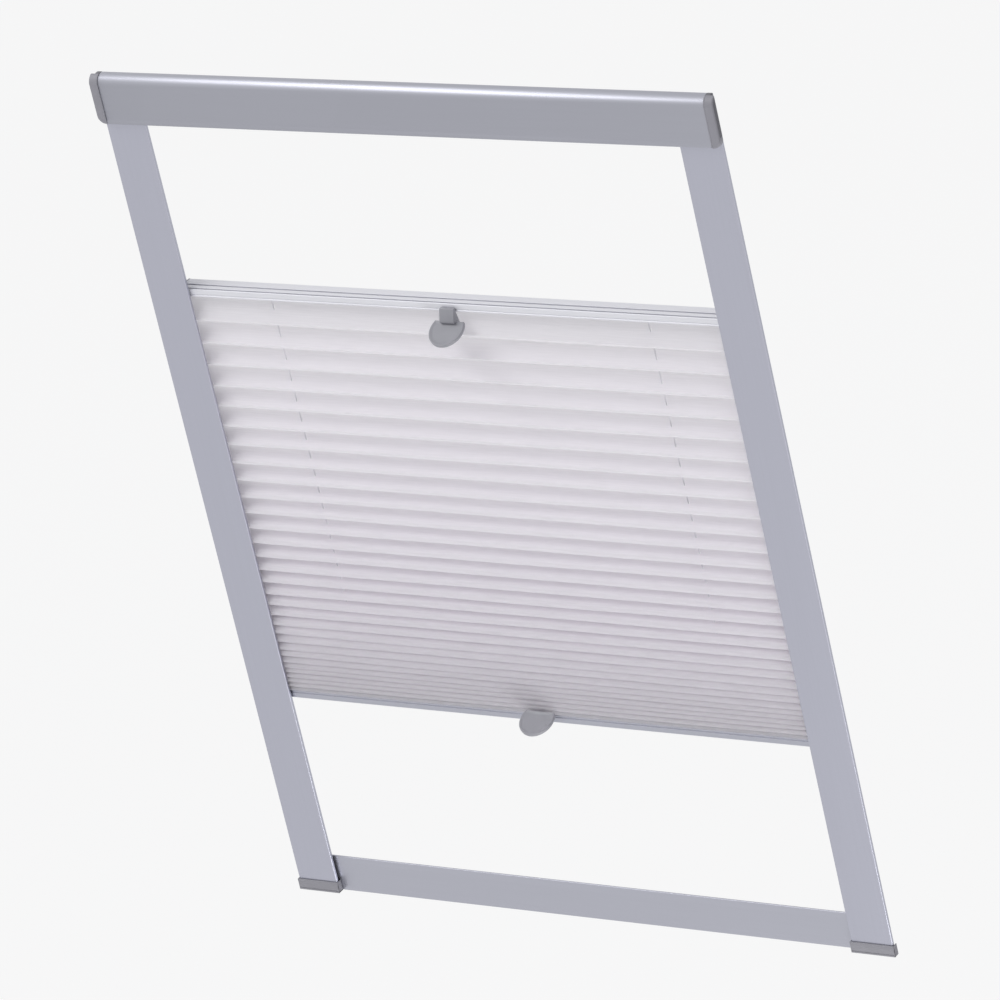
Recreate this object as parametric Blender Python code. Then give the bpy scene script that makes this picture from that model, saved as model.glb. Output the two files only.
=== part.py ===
"""Pleated blind for a roof window: two rails slide in side rails and fold a pleated cloth between them.

Frame: X across, Z up along the side rails, front towards -Y. The origin is the middle of the head
rail's back face. Sizes are in millimetres and become metres where a mesh is made. A depth is measured
back from the front of the side rails, and a level is a Z value.
"""
import math

import bmesh
import bpy
from mathutils import Matrix, Vector

MM = 0.001
GAP = 0.3  # left between pieces that touch

# Driving dimensions
WIDTH = 600.0  # over the side rails
FLANGE = 40.0  # face width of a side rail
FRONT_Y = -24.0  # front plane of the side rails; the head rail's back is Y = 0
SHEET = 1.4  # wall of the aluminium profiles
HEAD_BOTTOM, HEAD_TOP = -17.0, 26.6
RAIL_TOP, RAIL_BOTTOM = -14.5, -761.7
BAR_BOTTOM, BAR_TOP = -763.4, -728.9
BAR_DEPTH, BAR_BACK = 5.0, 20.0  # front of the bottom bar, behind the side rails' flanges, and its back
MID_DEPTH = 13.5  # plane of the cords, middle of the moving rails and of the pleats

# Head box
COVER_FACE, COVER_BAND = -6.0, -6.25  # depths of the cover's face and of its proud lower band
BAND_HEIGHT = 4.0
TOP_RADIUS = 8.3  # of the cover's rounded top edge
CAP_IN, CAP_OUT, CAP_PROUD = 293.8, 302.6, 0.6
CAP_BODY_OUT = 298.5  # where the end cap steps back
CAP_FRONT_BACK = -0.4  # depth to which the cap's front block reaches
CAP_CORNER = 7.5  # radius of the front block's outer lower corner
HEAD_RAIL_HALF = 275.5
HEAD_RAIL_BOTTOM, HEAD_RAIL_TOP, HEAD_RAIL_DEPTH = -14.0, 14.0, 24.0
SCREW_HOLE_R = 2.2
HEAD_SCREW_X, BAR_SCREW_X = 256.0, 262.0
BAR_SCREW_LEVEL = -751.0

# Side rail section: U is measured from the flange's inner edge
LIP = 2.6
FLANGE_WALL = 1.5
FLANGE_ROUND = 0.8
BODY_IN, BODY_OUT, BODY_BACK = 16.0, 25.2, 22.8
SLOT_HALF = 2.8
WALL = 1.3
RAIL_HOLES = (-80.0, -390.0, -700.0)  # levels of the screw holes in the outer wall

# What sits inside a side rail's channel
LEG = (277.7, 283.5)  # X
LEG_DEPTH = (8.2, 17.8)

# Moving rails
MOVING_DEPTH, MOVING_HEIGHT, MOVING_WALL = 19.2, 7.1, 1.1
MOVING_HALF = 272.0
ROOF = 5.3  # height of the hollow's roof
UNDERCUT, LEDGE = 1.4, 0.4  # how far a groove reaches back, and the thickness above that
BEAD_R = 0.95  # of the rounded bead along the front edge beside the cloth
HOOK_LEVEL = 2.2  # height of the narrow groove above the bead, which the handle hooks into
GROOVES, GROOVE_DEPTH = ((-8.4, -6.6), (-1.7, 0.3)), 1.2
UPPER_CLOTH_SIDE, LOWER_CLOTH_SIDE = -180.9, -561.2  # the levels that face the cloth
CORD_LEVEL = 3.95  # of a cord inside a moving rail, above its cloth side
GUIDE_X = 185.0  # where the cords go through the cloth
LANE = 2.4  # how far the two crossing cords keep from the middle plane

# Cloth
PLEATS = 31
PANEL = 20.0  # from fold to fold; the first panel is longer
EQUAL_PLEATS = 4  # the lowest ones
CLOTH_HALF = 275.3
CLOTH_THICK = 0.3
FIRST_PITCH, PITCH_STEP = 21.9, 0.656
HOLE_SIDE = 3.2

# Cords and springs
CORD_D = 1.2
CORD_X = 280.6  # in the side rails' channels
WIRE_D, SPRING_R, SPRING_TURNS, SPRING_PITCH = 0.7, 1.9, 9, 1.75
SPRING_LOW, SPRING_HIGH = -751.7, -727.5

# Handles: a thickness or a reach is measured forwards from the rail's front
STEM_HALF, STEM_TOP_THICK, STEM_LOW_THICK = 7.0, 3.0, 7.5
LOWER_STEM_THICK = 5.0
STEM_UNDER, STEM_TOE = 2.6, 10.4  # how far the upper stem reaches back and down under its rail
TAB_HALF, TAB_TALL, TAB_MIDDLE, TAB_THICK = 16.0, 16.6, 8.0, 3.2
LOWER_HANDLE_X = -1.8  # the lower handle sits a little left of the middle


def clear_scene():
    for old in list(bpy.data.objects):
        bpy.data.objects.remove(old, do_unlink=True)


def material(name, colour, roughness, metallic=0.0):
    """A plain Principled finish, shared by every piece of that material."""
    found = bpy.data.materials.get(name)
    if found:
        return found
    made = bpy.data.materials.new(name)
    made.use_nodes = True
    shader = made.node_tree.nodes["Principled BSDF"]
    shader.inputs["Base Color"].default_value = (*colour, 1.0)
    shader.inputs["Roughness"].default_value = roughness
    shader.inputs["Metallic"].default_value = metallic
    made.diffuse_color = (*colour, 1.0)
    return made


def anodised():
    return material("anodised_aluminium", (0.40, 0.40, 0.46), 0.42, 0.7)


def pale_coat():
    return material("pale_coated_aluminium", (0.66, 0.66, 0.71), 0.4, 0.3)


def grey_plastic():
    return material("grey_moulded_plastic", (0.27, 0.27, 0.30), 0.5)


def pale_plastic():
    return material("pale_moulded_plastic", (0.70, 0.70, 0.72), 0.45)


def steel():
    return material("zinc_plated_steel", (0.55, 0.56, 0.58), 0.3, 1.0)


def polyester():
    return material("pleated_polyester", (0.80, 0.79, 0.83), 0.85)


def cord_fibre():
    return material("braided_polyester_cord", (0.78, 0.78, 0.80), 0.8)


def new_object(name, mesh, finish):
    made = bpy.data.objects.new(name, mesh)
    bpy.context.scene.collection.objects.link(made)
    if finish:
        mesh.materials.append(finish)
    return made


def mesh_from(name, points, faces):
    """A mesh in metres from points in millimetres, its faces turned to point outwards."""
    mesh = bpy.data.meshes.new(name)
    mesh.from_pydata([Vector(point) * MM for point in points], [], faces)
    work = bmesh.new()
    work.from_mesh(mesh)
    bmesh.ops.recalc_face_normals(work, faces=work.faces)
    work.to_mesh(mesh)
    work.free()
    return mesh


def prism(name, outline, low, high, finish=None, place=None):
    """A closed body: an outline in a plane carried from low to high along the plane's normal.

    place turns (a, b, along) into (X, Y, Z); as it stands, a is a depth, b a level and along is X.
    """
    place = place or (lambda a, b, along: (along, FRONT_Y + a, b))
    count = len(outline)
    points = [place(a, b, low) for a, b in outline] + [place(a, b, high) for a, b in outline]
    faces = [tuple(range(count)), tuple(range(2 * count - 1, count - 1, -1))]
    for here in range(count):
        after = (here + 1) % count
        faces.append((here, after, count + after, count + here))
    return new_object(name, mesh_from(name, points, faces), finish)


def block(name, x, depth, z, finish=None):
    """A box between two X values, two depths and two levels."""
    (a0, a1), (b0, b1) = sorted(depth), sorted(z)
    return prism(name, [(a0, b0), (a1, b0), (a1, b1), (a0, b1)], *sorted(x), finish)


def arc(centre, radius, start, end, steps):
    """Points along an arc, its angles in degrees."""
    angles = [math.radians(start + (end - start) * step / steps) for step in range(steps + 1)]
    return [(centre[0] + radius * math.cos(a), centre[1] + radius * math.sin(a)) for a in angles]


def rod(name, centre, direction, radius, length, finish=None, sides=16):
    """A round bar that starts at centre and runs along direction; centre is (X, depth, level)."""
    turn = Vector(direction).to_track_quat("Z", "Y").to_matrix()
    start = Vector((centre[0], FRONT_Y + centre[1], centre[2]))

    def placed(a, b, along):
        return tuple(start + turn @ Vector((a, b, along)))

    ring = arc((0, 0), radius, 0, 360 - 360 / sides, sides - 1)
    return prism(name, ring, 0.0, length, finish, placed)


def turned(name, centre, direction, outline, finish, sides=20):
    """A round piece: an outline of (radius, distance) turned about the line through centre."""
    turn = Vector(direction).to_track_quat("Z", "Y").to_matrix()
    start = Vector((centre[0], FRONT_Y + centre[1], centre[2]))
    count = len(outline)
    on_axis = outline[0][0] == 0
    points = []
    for side in range(sides):
        angle = 2 * math.pi * side / sides
        for radius, along in outline:
            local = Vector((radius * math.cos(angle), radius * math.sin(angle), along))
            points.append(tuple(start + turn @ local))
    faces = []
    for side in range(sides):
        here, after = side * count, (side + 1) % sides * count
        for step in range(count - 1 if on_axis else count):
            other = (step + 1) % count
            faces.append((here + step, here + other, after + other, after + step))
    mesh = mesh_from(name, points, faces)
    work = bmesh.new()
    work.from_mesh(mesh)
    bmesh.ops.remove_doubles(work, verts=work.verts, dist=1e-7)
    bmesh.ops.recalc_face_normals(work, faces=work.faces)
    work.to_mesh(mesh)
    work.free()
    made = new_object(name, mesh, finish)
    mesh.shade_smooth()
    mesh.set_sharp_from_angle(angle=math.radians(40))
    return made


def boolean(target, tool, operation):
    """Adds or cuts with a hidden tool, kept as a live modifier."""
    change = target.modifiers.new(tool.name, "BOOLEAN")
    change.operation = operation
    change.object = tool
    tool.hide_render = True
    tool.display_type = "WIRE"


def add(target, tool):
    boolean(target, tool, "UNION")


def cut(target, tool):
    boolean(target, tool, "DIFFERENCE")


def tube(name, points, diameter, finish, resolution=2):
    """A round cord or wire through points of (X, depth, level), with closed ends."""
    curve = bpy.data.curves.new(name, "CURVE")
    curve.dimensions = "3D"
    curve.bevel_depth = diameter / 2 * MM
    curve.bevel_resolution = resolution
    curve.use_fill_caps = True
    line = curve.splines.new("POLY")
    line.points.add(len(points) - 1)
    for slot, (x, depth, level) in zip(line.points, points):
        slot.co = (x * MM, (FRONT_Y + depth) * MM, level * MM, 1.0)
    curve.materials.append(finish)
    made = bpy.data.objects.new(name, curve)
    bpy.context.scene.collection.objects.link(made)
    return made


def put_on(parent, pieces):
    """Hangs pieces on a joint's empty without moving them."""
    for piece in pieces:
        piece.parent = parent
        piece.matrix_parent_inverse = parent.matrix_world.inverted()


def pan_screw(name, centre, direction, finish, length=9.0, radius=1.9, head=3.4):
    """A pan-head screw whose head's underside lies at centre and whose shank runs along direction."""
    outline = [(0.0, length), (radius * 0.55, length), (radius, length - 1.6), (radius, 0.0), (head, 0.0)]
    outline += [(head, -0.9), (head * 0.72, -2.0), (0.0, -2.0)]
    made = turned(name, centre, direction, outline, finish)
    across, along = Vector(direction).orthogonal(), Vector(direction)
    top = Vector((centre[0], centre[1], centre[2])) - along * 2.3
    for turn in (45.0, 135.0):
        side = Matrix.Rotation(math.radians(turn), 3, along) @ across.normalized() * 1.7
        start = top - side
        slot = rod(f"{name}_recess_{turn:.0f}", start, side, 0.45, side.length * 2, sides=4)
        cut(made, slot)
    return made


def side_rail(side, name):
    """Flange with turned-in edges in front, and behind it a channel with a slot towards the cloth."""
    slot_low, slot_high = MID_DEPTH - SLOT_HALF, MID_DEPTH + SLOT_HALF
    inner, outer = BODY_IN + WALL, BODY_OUT - WALL
    bend, back = FLANGE_ROUND, FLANGE_WALL
    section = arc((bend, bend), bend, 180, 270, 4) + arc((FLANGE - bend, bend), bend, 270, 360, 4)
    section += [(FLANGE, LIP), (FLANGE - WALL, LIP), (FLANGE - WALL, back), (BODY_OUT, back)]
    section += [(BODY_OUT, BODY_BACK), (BODY_IN, BODY_BACK), (BODY_IN, slot_high), (inner, slot_high)]
    section += [(inner, BODY_BACK - WALL), (outer, BODY_BACK - WALL), (outer, back), (inner, back)]
    section += [(inner, slot_low), (BODY_IN, slot_low), (BODY_IN, back), (WALL, back), (WALL, LIP), (0, LIP)]

    def placed(a, b, along):
        return side * (WIDTH / 2 - FLANGE + a), FRONT_Y + b, along

    made = prism(name, section, RAIL_BOTTOM, RAIL_TOP, anodised(), placed)
    for number, level in enumerate(RAIL_HOLES):
        start = side * (WIDTH / 2 - FLANGE + outer - 1.0)
        hole = rod(f"{name}_hole_{number}", (start, MID_DEPTH, level), (side, 0, 0), SCREW_HOLE_R, 4.0)
        cut(made, hole)
    return made


def cover_top(outer):
    """The head cover's rounded top edge, outer millimetres outside its face."""
    centre = (COVER_FACE + TOP_RADIUS, HEAD_TOP - TOP_RADIUS)
    return arc(centre, TOP_RADIUS + outer, 180, 90, 8)


def head_cover():
    """Front sheet with a proud lower band, rounded over at the top and hooked at both edges."""
    face, band = COVER_FACE, COVER_BAND
    band_top = HEAD_BOTTOM + BAND_HEIGHT
    section = [(band, HEAD_BOTTOM), (band, band_top), (face, band_top + 0.3)]
    section += cover_top(0.0)
    section += [(4.0, HEAD_TOP), (4.0, HEAD_TOP - 3.4), (2.6, HEAD_TOP - 3.4), (2.6, HEAD_TOP - SHEET)]
    section += list(reversed(cover_top(-SHEET)))
    section += [(face + SHEET, HEAD_BOTTOM + SHEET), (-1.2, HEAD_BOTTOM + SHEET), (-1.2, HEAD_BOTTOM)]
    return prism("head_cover", section, -CAP_IN + GAP, CAP_IN - GAP, anodised())


def head_rail():
    """Mounting profile: back web with screw holes, floor, roof and the two edges that hold the cover."""
    low, high, back = HEAD_RAIL_BOTTOM, HEAD_RAIL_TOP, HEAD_RAIL_DEPTH
    section = [(-3.6, low), (back, low), (back, high), (2.2, high), (2.2, HEAD_TOP - 3.8)]
    section += [(0.8, HEAD_TOP - 3.8), (0.8, high - SHEET), (back - SHEET, high - SHEET)]
    section += [(back - SHEET, low + SHEET), (-2.2, low + SHEET), (-2.2, low + 6.0), (-3.6, low + 6.0)]
    made = prism("head_rail", section, -HEAD_RAIL_HALF, HEAD_RAIL_HALF, anodised())
    for number, x in enumerate((-200.0, 200.0)):
        cut(made, rod(f"head_rail_hole_{number}", (x, back - 3.0, 0.0), (0, 1, 0), 2.4, 6.0))
    for side in (-1, 1):
        start = (side * HEAD_SCREW_X, MID_DEPTH, low - 2.0)
        cut(made, rod(f"head_rail_screw_hole_{side}", start, (0, 0, 1), SCREW_HOLE_R, 6.0))
    return made


def cap_outline(back):
    """Side view of an end cap, proud of the cover, cut off at a depth and cut out over the rail."""
    centre, radius, bottom = COVER_FACE + TOP_RADIUS, TOP_RADIUS + CAP_PROUD, HEAD_BOTTOM - CAP_PROUD
    end = math.degrees(math.acos(min(back - centre, 0.0) / radius))
    outline = [(centre - radius, bottom)] + arc((centre, HEAD_TOP - TOP_RADIUS), radius, 180, end, 8)
    if back > centre:
        outline.append((back, HEAD_TOP + CAP_PROUD))
    over_rail = RAIL_TOP + GAP
    return outline + [(back, over_rail), (-GAP, over_rail), (-GAP, bottom)]


def head_cap(side, name):
    """End cap: a front block with a round lower corner, stepped back twice so that it enters the sash."""
    made = prism(name, cap_outline(4.6), *sorted((side * CAP_IN, side * CAP_BODY_OUT)), grey_plastic())
    reach = sorted((side * (CAP_BODY_OUT - 0.5), side * CAP_OUT))
    add(made, prism(f"{name}_front", cap_outline(CAP_FRONT_BACK), *reach))
    add(made, block(f"{name}_plate", (side * 288.2, side * 298.0), (2.6, 4.2), (-13.0, 14.0)))
    add(made, block(f"{name}_wall", (side * 286.9, side * 288.4), (2.6, 15.5), (-13.0, 14.0)))
    add(made, block(f"{name}_plug", (side * 286.9, side * 294.0), (-4.2, 0.4), (-12.0, 18.5)))

    def placed(a, b, along):
        return side * a, FRONT_Y + along, b

    low = HEAD_BOTTOM - CAP_PROUD
    inner, upper, beyond = CAP_OUT - CAP_CORNER, low + CAP_CORNER, CAP_OUT + 1.0
    corner = arc((inner, upper), CAP_CORNER, 270, 360, 8)
    corner += [(beyond, upper), (beyond, low - 1.0), (inner, low - 1.0)]
    cut(made, prism(f"{name}_corner", corner, -12.0, 8.0, None, placed))
    return made


def bottom_bar():
    """Front plate with a channel behind it that holds the corner pieces' arms."""
    front, back = BAR_DEPTH, BAR_BACK
    roof = BAR_TOP - 12.6
    section = [(front, BAR_BOTTOM), (front, BAR_TOP), (front + 2.0, BAR_TOP), (front + 2.0, BAR_TOP - 2.0)]
    section += [(front + SHEET, BAR_TOP - 2.6), (front + SHEET, roof), (back, roof)]
    section += [(back, BAR_BOTTOM), (back - 4.0, BAR_BOTTOM), (back - 4.0, BAR_BOTTOM + SHEET)]
    section += [(back - SHEET, BAR_BOTTOM + SHEET), (back - SHEET, roof - SHEET)]
    section += [(front + SHEET, roof - SHEET), (front + SHEET, BAR_BOTTOM)]
    half = WIDTH / 2 - FLANGE + BODY_IN - GAP
    made = prism("bottom_bar", section, -half, half, anodised())
    for side in (-1, 1):
        start = (side * BAR_SCREW_X, back - 3.0, BAR_SCREW_LEVEL)
        cut(made, rod(f"bottom_bar_hole_{side}", start, (0, 1, 0), SCREW_HOLE_R, 5.0))
    return made


def foot_cap(side, name):
    """Plastic cap on a side rail's lower end: floor, front and two short sides."""
    inner, outer = WIDTH / 2 - FLANGE - GAP, WIDTH / 2 + GAP
    wall, top = 0.7, -753.0
    floor = (BAR_BOTTOM, BAR_BOTTOM + SHEET)
    made = block(name, (side * (inner - wall), side * (outer + wall)), (-1.6, 4.6), floor, grey_plastic())
    rear = (side * (WIDTH / 2 - FLANGE + BODY_IN), side * (WIDTH / 2 - FLANGE + BODY_OUT))
    add(made, block(f"{name}_rear", rear, (4.0, BODY_BACK), floor))
    full = (BAR_BOTTOM, top)
    add(made, block(f"{name}_front", (side * (inner - wall), side * (outer + wall)), (-1.6, -GAP), full))
    add(made, block(f"{name}_inner", (side * (inner - wall), side * inner), (-1.6, 4.6), full))
    add(made, block(f"{name}_outer", (side * outer, side * (outer + wall)), (-1.6, 4.6), full))
    return made


def top_corner(side, name):
    """Plastic corner: a leg in the side rail's channel, an arm in the head rail, a hole for the cord."""
    made = block(name, (side * LEG[0], side * LEG[1]), LEG_DEPTH, (-28.0, 4.0), pale_plastic())
    add(made, block(f"{name}_arm", (side * 250.0, side * 278.0), LEG_DEPTH, (-11.8, 4.0)))
    cut(made, rod(f"{name}_bore", (side * CORD_X, MID_DEPTH, -40.0), (0, 0, 1), 1.2, 50.0))
    cut(made, rod(f"{name}_pilot", (side * HEAD_SCREW_X, MID_DEPTH, -20.0), (0, 0, 1), SCREW_HOLE_R, 19.0))
    return made


def bottom_corner(side, name):
    """Plastic corner: a leg in the side rail's channel and an arm through its slot into the bar."""
    made = block(name, (side * LEG[0], side * LEG[1]), LEG_DEPTH, (-761.5, -752.0), pale_plastic())
    arm_depth = (MID_DEPTH - SLOT_HALF + GAP, MID_DEPTH + SLOT_HALF - GAP)
    add(made, block(f"{name}_arm", (side * 250.0, side * 278.0), arm_depth, (-761.5, -744.5)))
    start = (side * BAR_SCREW_X, 10.0, BAR_SCREW_LEVEL)
    cut(made, rod(f"{name}_pilot", start, (0, 1, 0), SCREW_HOLE_R, 8.0))
    return made


def moving_section():
    """Section of a moving rail: (offset from the middle plane, height above the cloth side)."""
    half, high, wall = MOVING_DEPTH / 2, MOVING_HEIGHT, MOVING_WALL
    section = [(-6.0, 0.0)] + arc((BEAD_R - half, BEAD_R), BEAD_R, 270, 90, 8)
    line_low, line_high = HOOK_LEVEL - 0.3, HOOK_LEVEL + 0.3
    section += [(-half + 0.5, line_low), (-half + 0.5, line_high), (-half, line_high + 0.1)]
    section += arc((-half + 0.5, high - 0.5), 0.5, 180, 90, 3)
    floor = high - GROOVE_DEPTH
    for groove_start, groove_end in GROOVES:
        section += [(groove_start, high), (groove_start, floor), (groove_end + UNDERCUT, floor)]
        section += [(groove_end + UNDERCUT, high - LEDGE), (groove_end, high - LEDGE), (groove_end, high)]
    section += arc((half - 0.5, high - 0.5), 0.5, 90, 0, 3)
    section += [(half, 0.0), (6.0, 0.0), (6.0, 1.0), (half - wall, 1.0), (half - wall, ROOF)]
    section += [(-half + wall, ROOF), (-half + wall, 1.0), (-6.0, 1.0)]
    return section


def moving_place(level, way):
    """Places a height above a rail's cloth side: way is 1 for the upper rail and -1 for the lower."""
    return lambda a, b, along: (along, FRONT_Y + MID_DEPTH + a, level + way * b)


def moving_rail(prefix, level, way):
    """One moving rail with everything that it carries but its cords and handle."""
    place = moving_place(level, way)
    rail = prism(f"{prefix}_rail", moving_section(), -MOVING_HALF, MOVING_HALF, pale_coat(), place)
    strip_outline = [(-5.7, 0.1), (5.7, 0.1), (5.7, 1.3), (8.2, 1.3), (8.2, 2.1), (-8.2, 2.1)]
    strip_outline += [(-8.2, 1.3), (-5.7, 1.3)]
    strip = prism(f"{prefix}_cloth_strip", strip_outline, -257.0, 257.0, pale_plastic(), place)
    pieces = [rail, strip]
    for side, hand in ((-1, "left"), (1, "right")):
        centre = (side * GUIDE_X, MID_DEPTH, level)
        below = (centre[0], centre[1], level - way * 3.0)
        cut(strip, rod(f"{prefix}_strip_bore_{hand}", below, (0, 0, way), 2.4, 9.0))
        outline = [(1.3, 0.2), (1.3, 3.0), (3.2, 3.0), (3.2, 2.4), (2.1, 2.4), (2.1, 0.2)]
        guide_name = f"{prefix}_cord_guide_{hand}"
        pieces.append(turned(guide_name, centre, (0, 0, way), outline, grey_plastic(), 16))
        pieces.append(slider(side, f"{prefix}_slider_{hand}", level, way))
    return pieces


def slider(side, name, level, way):
    """End piece: a plug in the rail, a plate over its end and a tongue with a head in the channel."""
    def span(low, high):
        return level + way * low, level + way * high

    near = (MID_DEPTH - 8.2, MID_DEPTH + 8.2)
    made = block(name, (side * 258.0, side * 272.4), near, span(1.3, 5.0), pale_plastic())
    full = (MID_DEPTH - 9.6, MID_DEPTH + 9.6)
    add(made, block(f"{name}_plate", (side * 272.3, side * 273.6), full, span(0.0, 7.1)))
    tongue = (MID_DEPTH - 2.4, MID_DEPTH + 2.4)
    add(made, block(f"{name}_tongue", (side * 273.5, side * 278.0), tongue, span(0.6, 8.1)))
    head = (MID_DEPTH - 4.4, MID_DEPTH + 4.4)
    add(made, block(f"{name}_head", (side * LEG[0], side * LEG[1]), head, span(-4.0, 11.1)))
    start = (side * (CORD_X + 0.8), MID_DEPTH, level + way * CORD_LEVEL)
    inward = rod(f"{name}_bore", start, (-side, 0, 0), 1.2, 30.0)
    upward = rod(f"{name}_mouth", (side * CORD_X, MID_DEPTH, level + way * 2.75), (0, 0, way), 1.2, 12.0)
    cut(made, inward)
    cut(made, upward)
    return made


def tab_outline():
    """Handle tab seen square on: most of an oval, cut straight at its root."""
    root = math.degrees(math.asin(TAB_MIDDLE / TAB_TALL))
    steps = [math.radians(-root + (180 + 2 * root) * step / 24) for step in range(25)]
    return [(TAB_HALF * math.cos(a), TAB_MIDDLE + TAB_TALL * math.sin(a)) for a in steps]


def upper_stem(face, level):
    """Side view of the upper stem: thicker downwards, rounded below, with a toe under the rail."""
    high, low, front = level + HOOK_LEVEL + 2.0, level - 8.3, face - STEM_LOW_THICK
    section = [(face, high), (face - STEM_TOP_THICK, high)]
    section += arc((front + 2.5, low + 2.5), 2.5, 180, 270, 4)
    toe, toe_low = face + STEM_UNDER, level - STEM_TOE
    return section + [(face - 1.2, low), (face + 0.6, toe_low), (toe, toe_low), (face, level - GAP)]


def lower_stem(face, level):
    """Side view of the lower stem: a short block on the rail's front, hidden by its tab."""
    high, low, front = level - 0.4, level - HOOK_LEVEL - 2.0, face - LOWER_STEM_THICK
    return [(face, high), (front, high), (front, low), (face, low)]


def handle(name, x, stem, hook, root, slope):
    """Handle: a stem in front of the rail, a ledge in the rail's front groove and a sloping tab."""
    face = MID_DEPTH - MOVING_DEPTH / 2 - GAP
    made = prism(name, stem, x - STEM_HALF, x + STEM_HALF, grey_plastic())
    add(made, block(f"{name}_ledge", (x - STEM_HALF, x + STEM_HALF), (face - 0.2, face + 0.65),
                    (hook - 0.15, hook + 0.15)))
    angle = math.radians(slope)
    start = Vector((x, face - 1.6, root))
    forward = Vector((0, -math.cos(angle), -math.sin(angle)))
    normal = Vector((0, -math.sin(angle), math.cos(angle)))

    def placed(a, b, along):
        point = start + forward * b + normal * along
        return point.x + a, FRONT_Y + point.y, point.z

    add(made, prism(f"{name}_tab", tab_outline(), -TAB_THICK / 2, TAB_THICK / 2, None, placed))
    return made


def pitches():
    """Pitch of each pleat: it falls by the same step, and the last ones share what is left equally."""
    height = UPPER_CLOTH_SIDE - LOWER_CLOTH_SIDE - 2 * GAP
    falling = [FIRST_PITCH - PITCH_STEP * number for number in range(PLEATS - EQUAL_PLEATS)]
    rest = (height - sum(falling)) / EQUAL_PLEATS
    return falling + [rest] * EQUAL_PLEATS


def fold_lines():
    """(depth, level) of every fold, from the top one behind, by turns in front and behind.

    Panels of one length lean by what their pitch leaves them. The first spans a whole pitch.
    """
    level = UPPER_CLOTH_SIDE - GAP
    reaches = [math.sqrt(PANEL**2 - (pitch / 2) ** 2) / 2 for pitch in pitches()]
    folds = [(MID_DEPTH + reaches[0], level)]
    for number, pitch in enumerate(pitches()):
        if number:
            folds.append((MID_DEPTH + reaches[number], level - pitch / 2))
        level -= pitch
        folds.append((MID_DEPTH - reaches[min(number + 1, PLEATS - 1)], level))
    return folds


def pleated_cloth():
    """The folded cloth as one closed sheet with a three-sided hole for each cord in every panel.

    Both faces share the folds' levels; the back face lies further back by the cloth's thickness
    divided by the sine of the panel's lean, which keeps the sheet equally thick.
    """
    folds = fold_lines()
    points, faces = [], []
    spans = [(math.dist(*pair), abs(pair[1][1] - pair[0][1])) for pair in zip(folds, folds[1:])]
    slopes = [drop / length for length, drop in spans]
    leans = [min(pair) for pair in zip(slopes[:1] + slopes, slopes + slopes[-1:])]
    rims = [min(CLOTH_THICK / lean, 1.0) / 2 for lean in leans]
    print(f"pleated_cloth: unfolded length {sum(length for length, drop in spans):.1f} mm")
    for (depth, level), shift in zip(folds, rims):
        for x in (-CLOTH_HALF, CLOTH_HALF):
            points.append((x, FRONT_Y + depth - shift, level))
            points.append((x, FRONT_Y + depth + shift, level))

    def corner(fold, right, back):
        return fold * 4 + right * 2 + back

    reach = HOLE_SIDE / math.sqrt(3)
    for panel in range(len(folds) - 1):
        (depth0, level0), (depth1, level1) = folds[panel], folds[panel + 1]
        holes = []
        for back in (0, 1):
            way = 1 if back else -1
            start, end = depth0 + way * rims[panel], depth1 + way * rims[panel + 1]
            centre = (MID_DEPTH - start) / (end - start)
            rings = []
            for x in (-GUIDE_X, GUIDE_X):
                ring = []
                for turn in (90, 210, 330):
                    a, b = math.cos(math.radians(turn)), math.sin(math.radians(turn))
                    along = centre + reach * b / spans[panel][0]
                    ring.append(len(points))
                    depth, level = start + (end - start) * along, level0 + (level1 - level0) * along
                    points.append((x + reach * a, FRONT_Y + depth, level))
                rings.append(ring)
            holes.append(rings)
            left, right = rings
            top_left, top_right = corner(panel, 0, back), corner(panel, 1, back)
            low_left, low_right = corner(panel + 1, 0, back), corner(panel + 1, 1, back)
            face = [
                (top_left, left[1], left[2]), (top_left, left[2], right[1]), (top_left, right[1], top_right),
                (top_right, right[1], right[2]), (top_right, right[2], low_right),
                (right[2], right[0], low_right), (right[0], low_left, low_right),
                (right[0], left[0], low_left), (right[0], right[1], left[0]),
                (left[0], right[1], left[2]), (left[0], left[1], low_left), (left[1], top_left, low_left),
            ]
            faces += face if back else [tuple(reversed(f)) for f in face]
        for ring_front, ring_back in zip(*holes):
            for here in range(3):
                after = (here + 1) % 3
                faces.append((ring_front[here], ring_front[after], ring_back[after], ring_back[here]))
        for right in (0, 1):
            ends = (corner(panel, right, 0), corner(panel, right, 1))
            lows = (corner(panel + 1, right, 1), corner(panel + 1, right, 0))
            faces.append(ends + lows)
    last = len(folds) - 1
    for fold in (0, last):
        faces.append((corner(fold, 0, 0), corner(fold, 1, 0), corner(fold, 1, 1), corner(fold, 0, 1)))
    return new_object("pleated_cloth", mesh_from("pleated_cloth", points, faces), polyester())


def eased(points, radius, steps=4):
    """A route with its corners rounded; every other point stays."""
    route = [Vector(points[0])]
    for before, corner_point, after in zip(points, points[1:], points[2:]):
        middle = Vector(corner_point)
        come, leave = (Vector(before) - middle), (Vector(after) - middle)
        reach = min(radius, come.length * 0.49, leave.length * 0.49)
        first, last = middle + come.normalized() * reach, middle + leave.normalized() * reach
        for step in range(steps + 1):
            t = step / steps
            route.append(first * (1 - t) ** 2 + middle * 2 * t * (1 - t) + last * t**2)
    route.append(Vector(points[-1]))
    return [tuple(point) for point in route]


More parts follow.
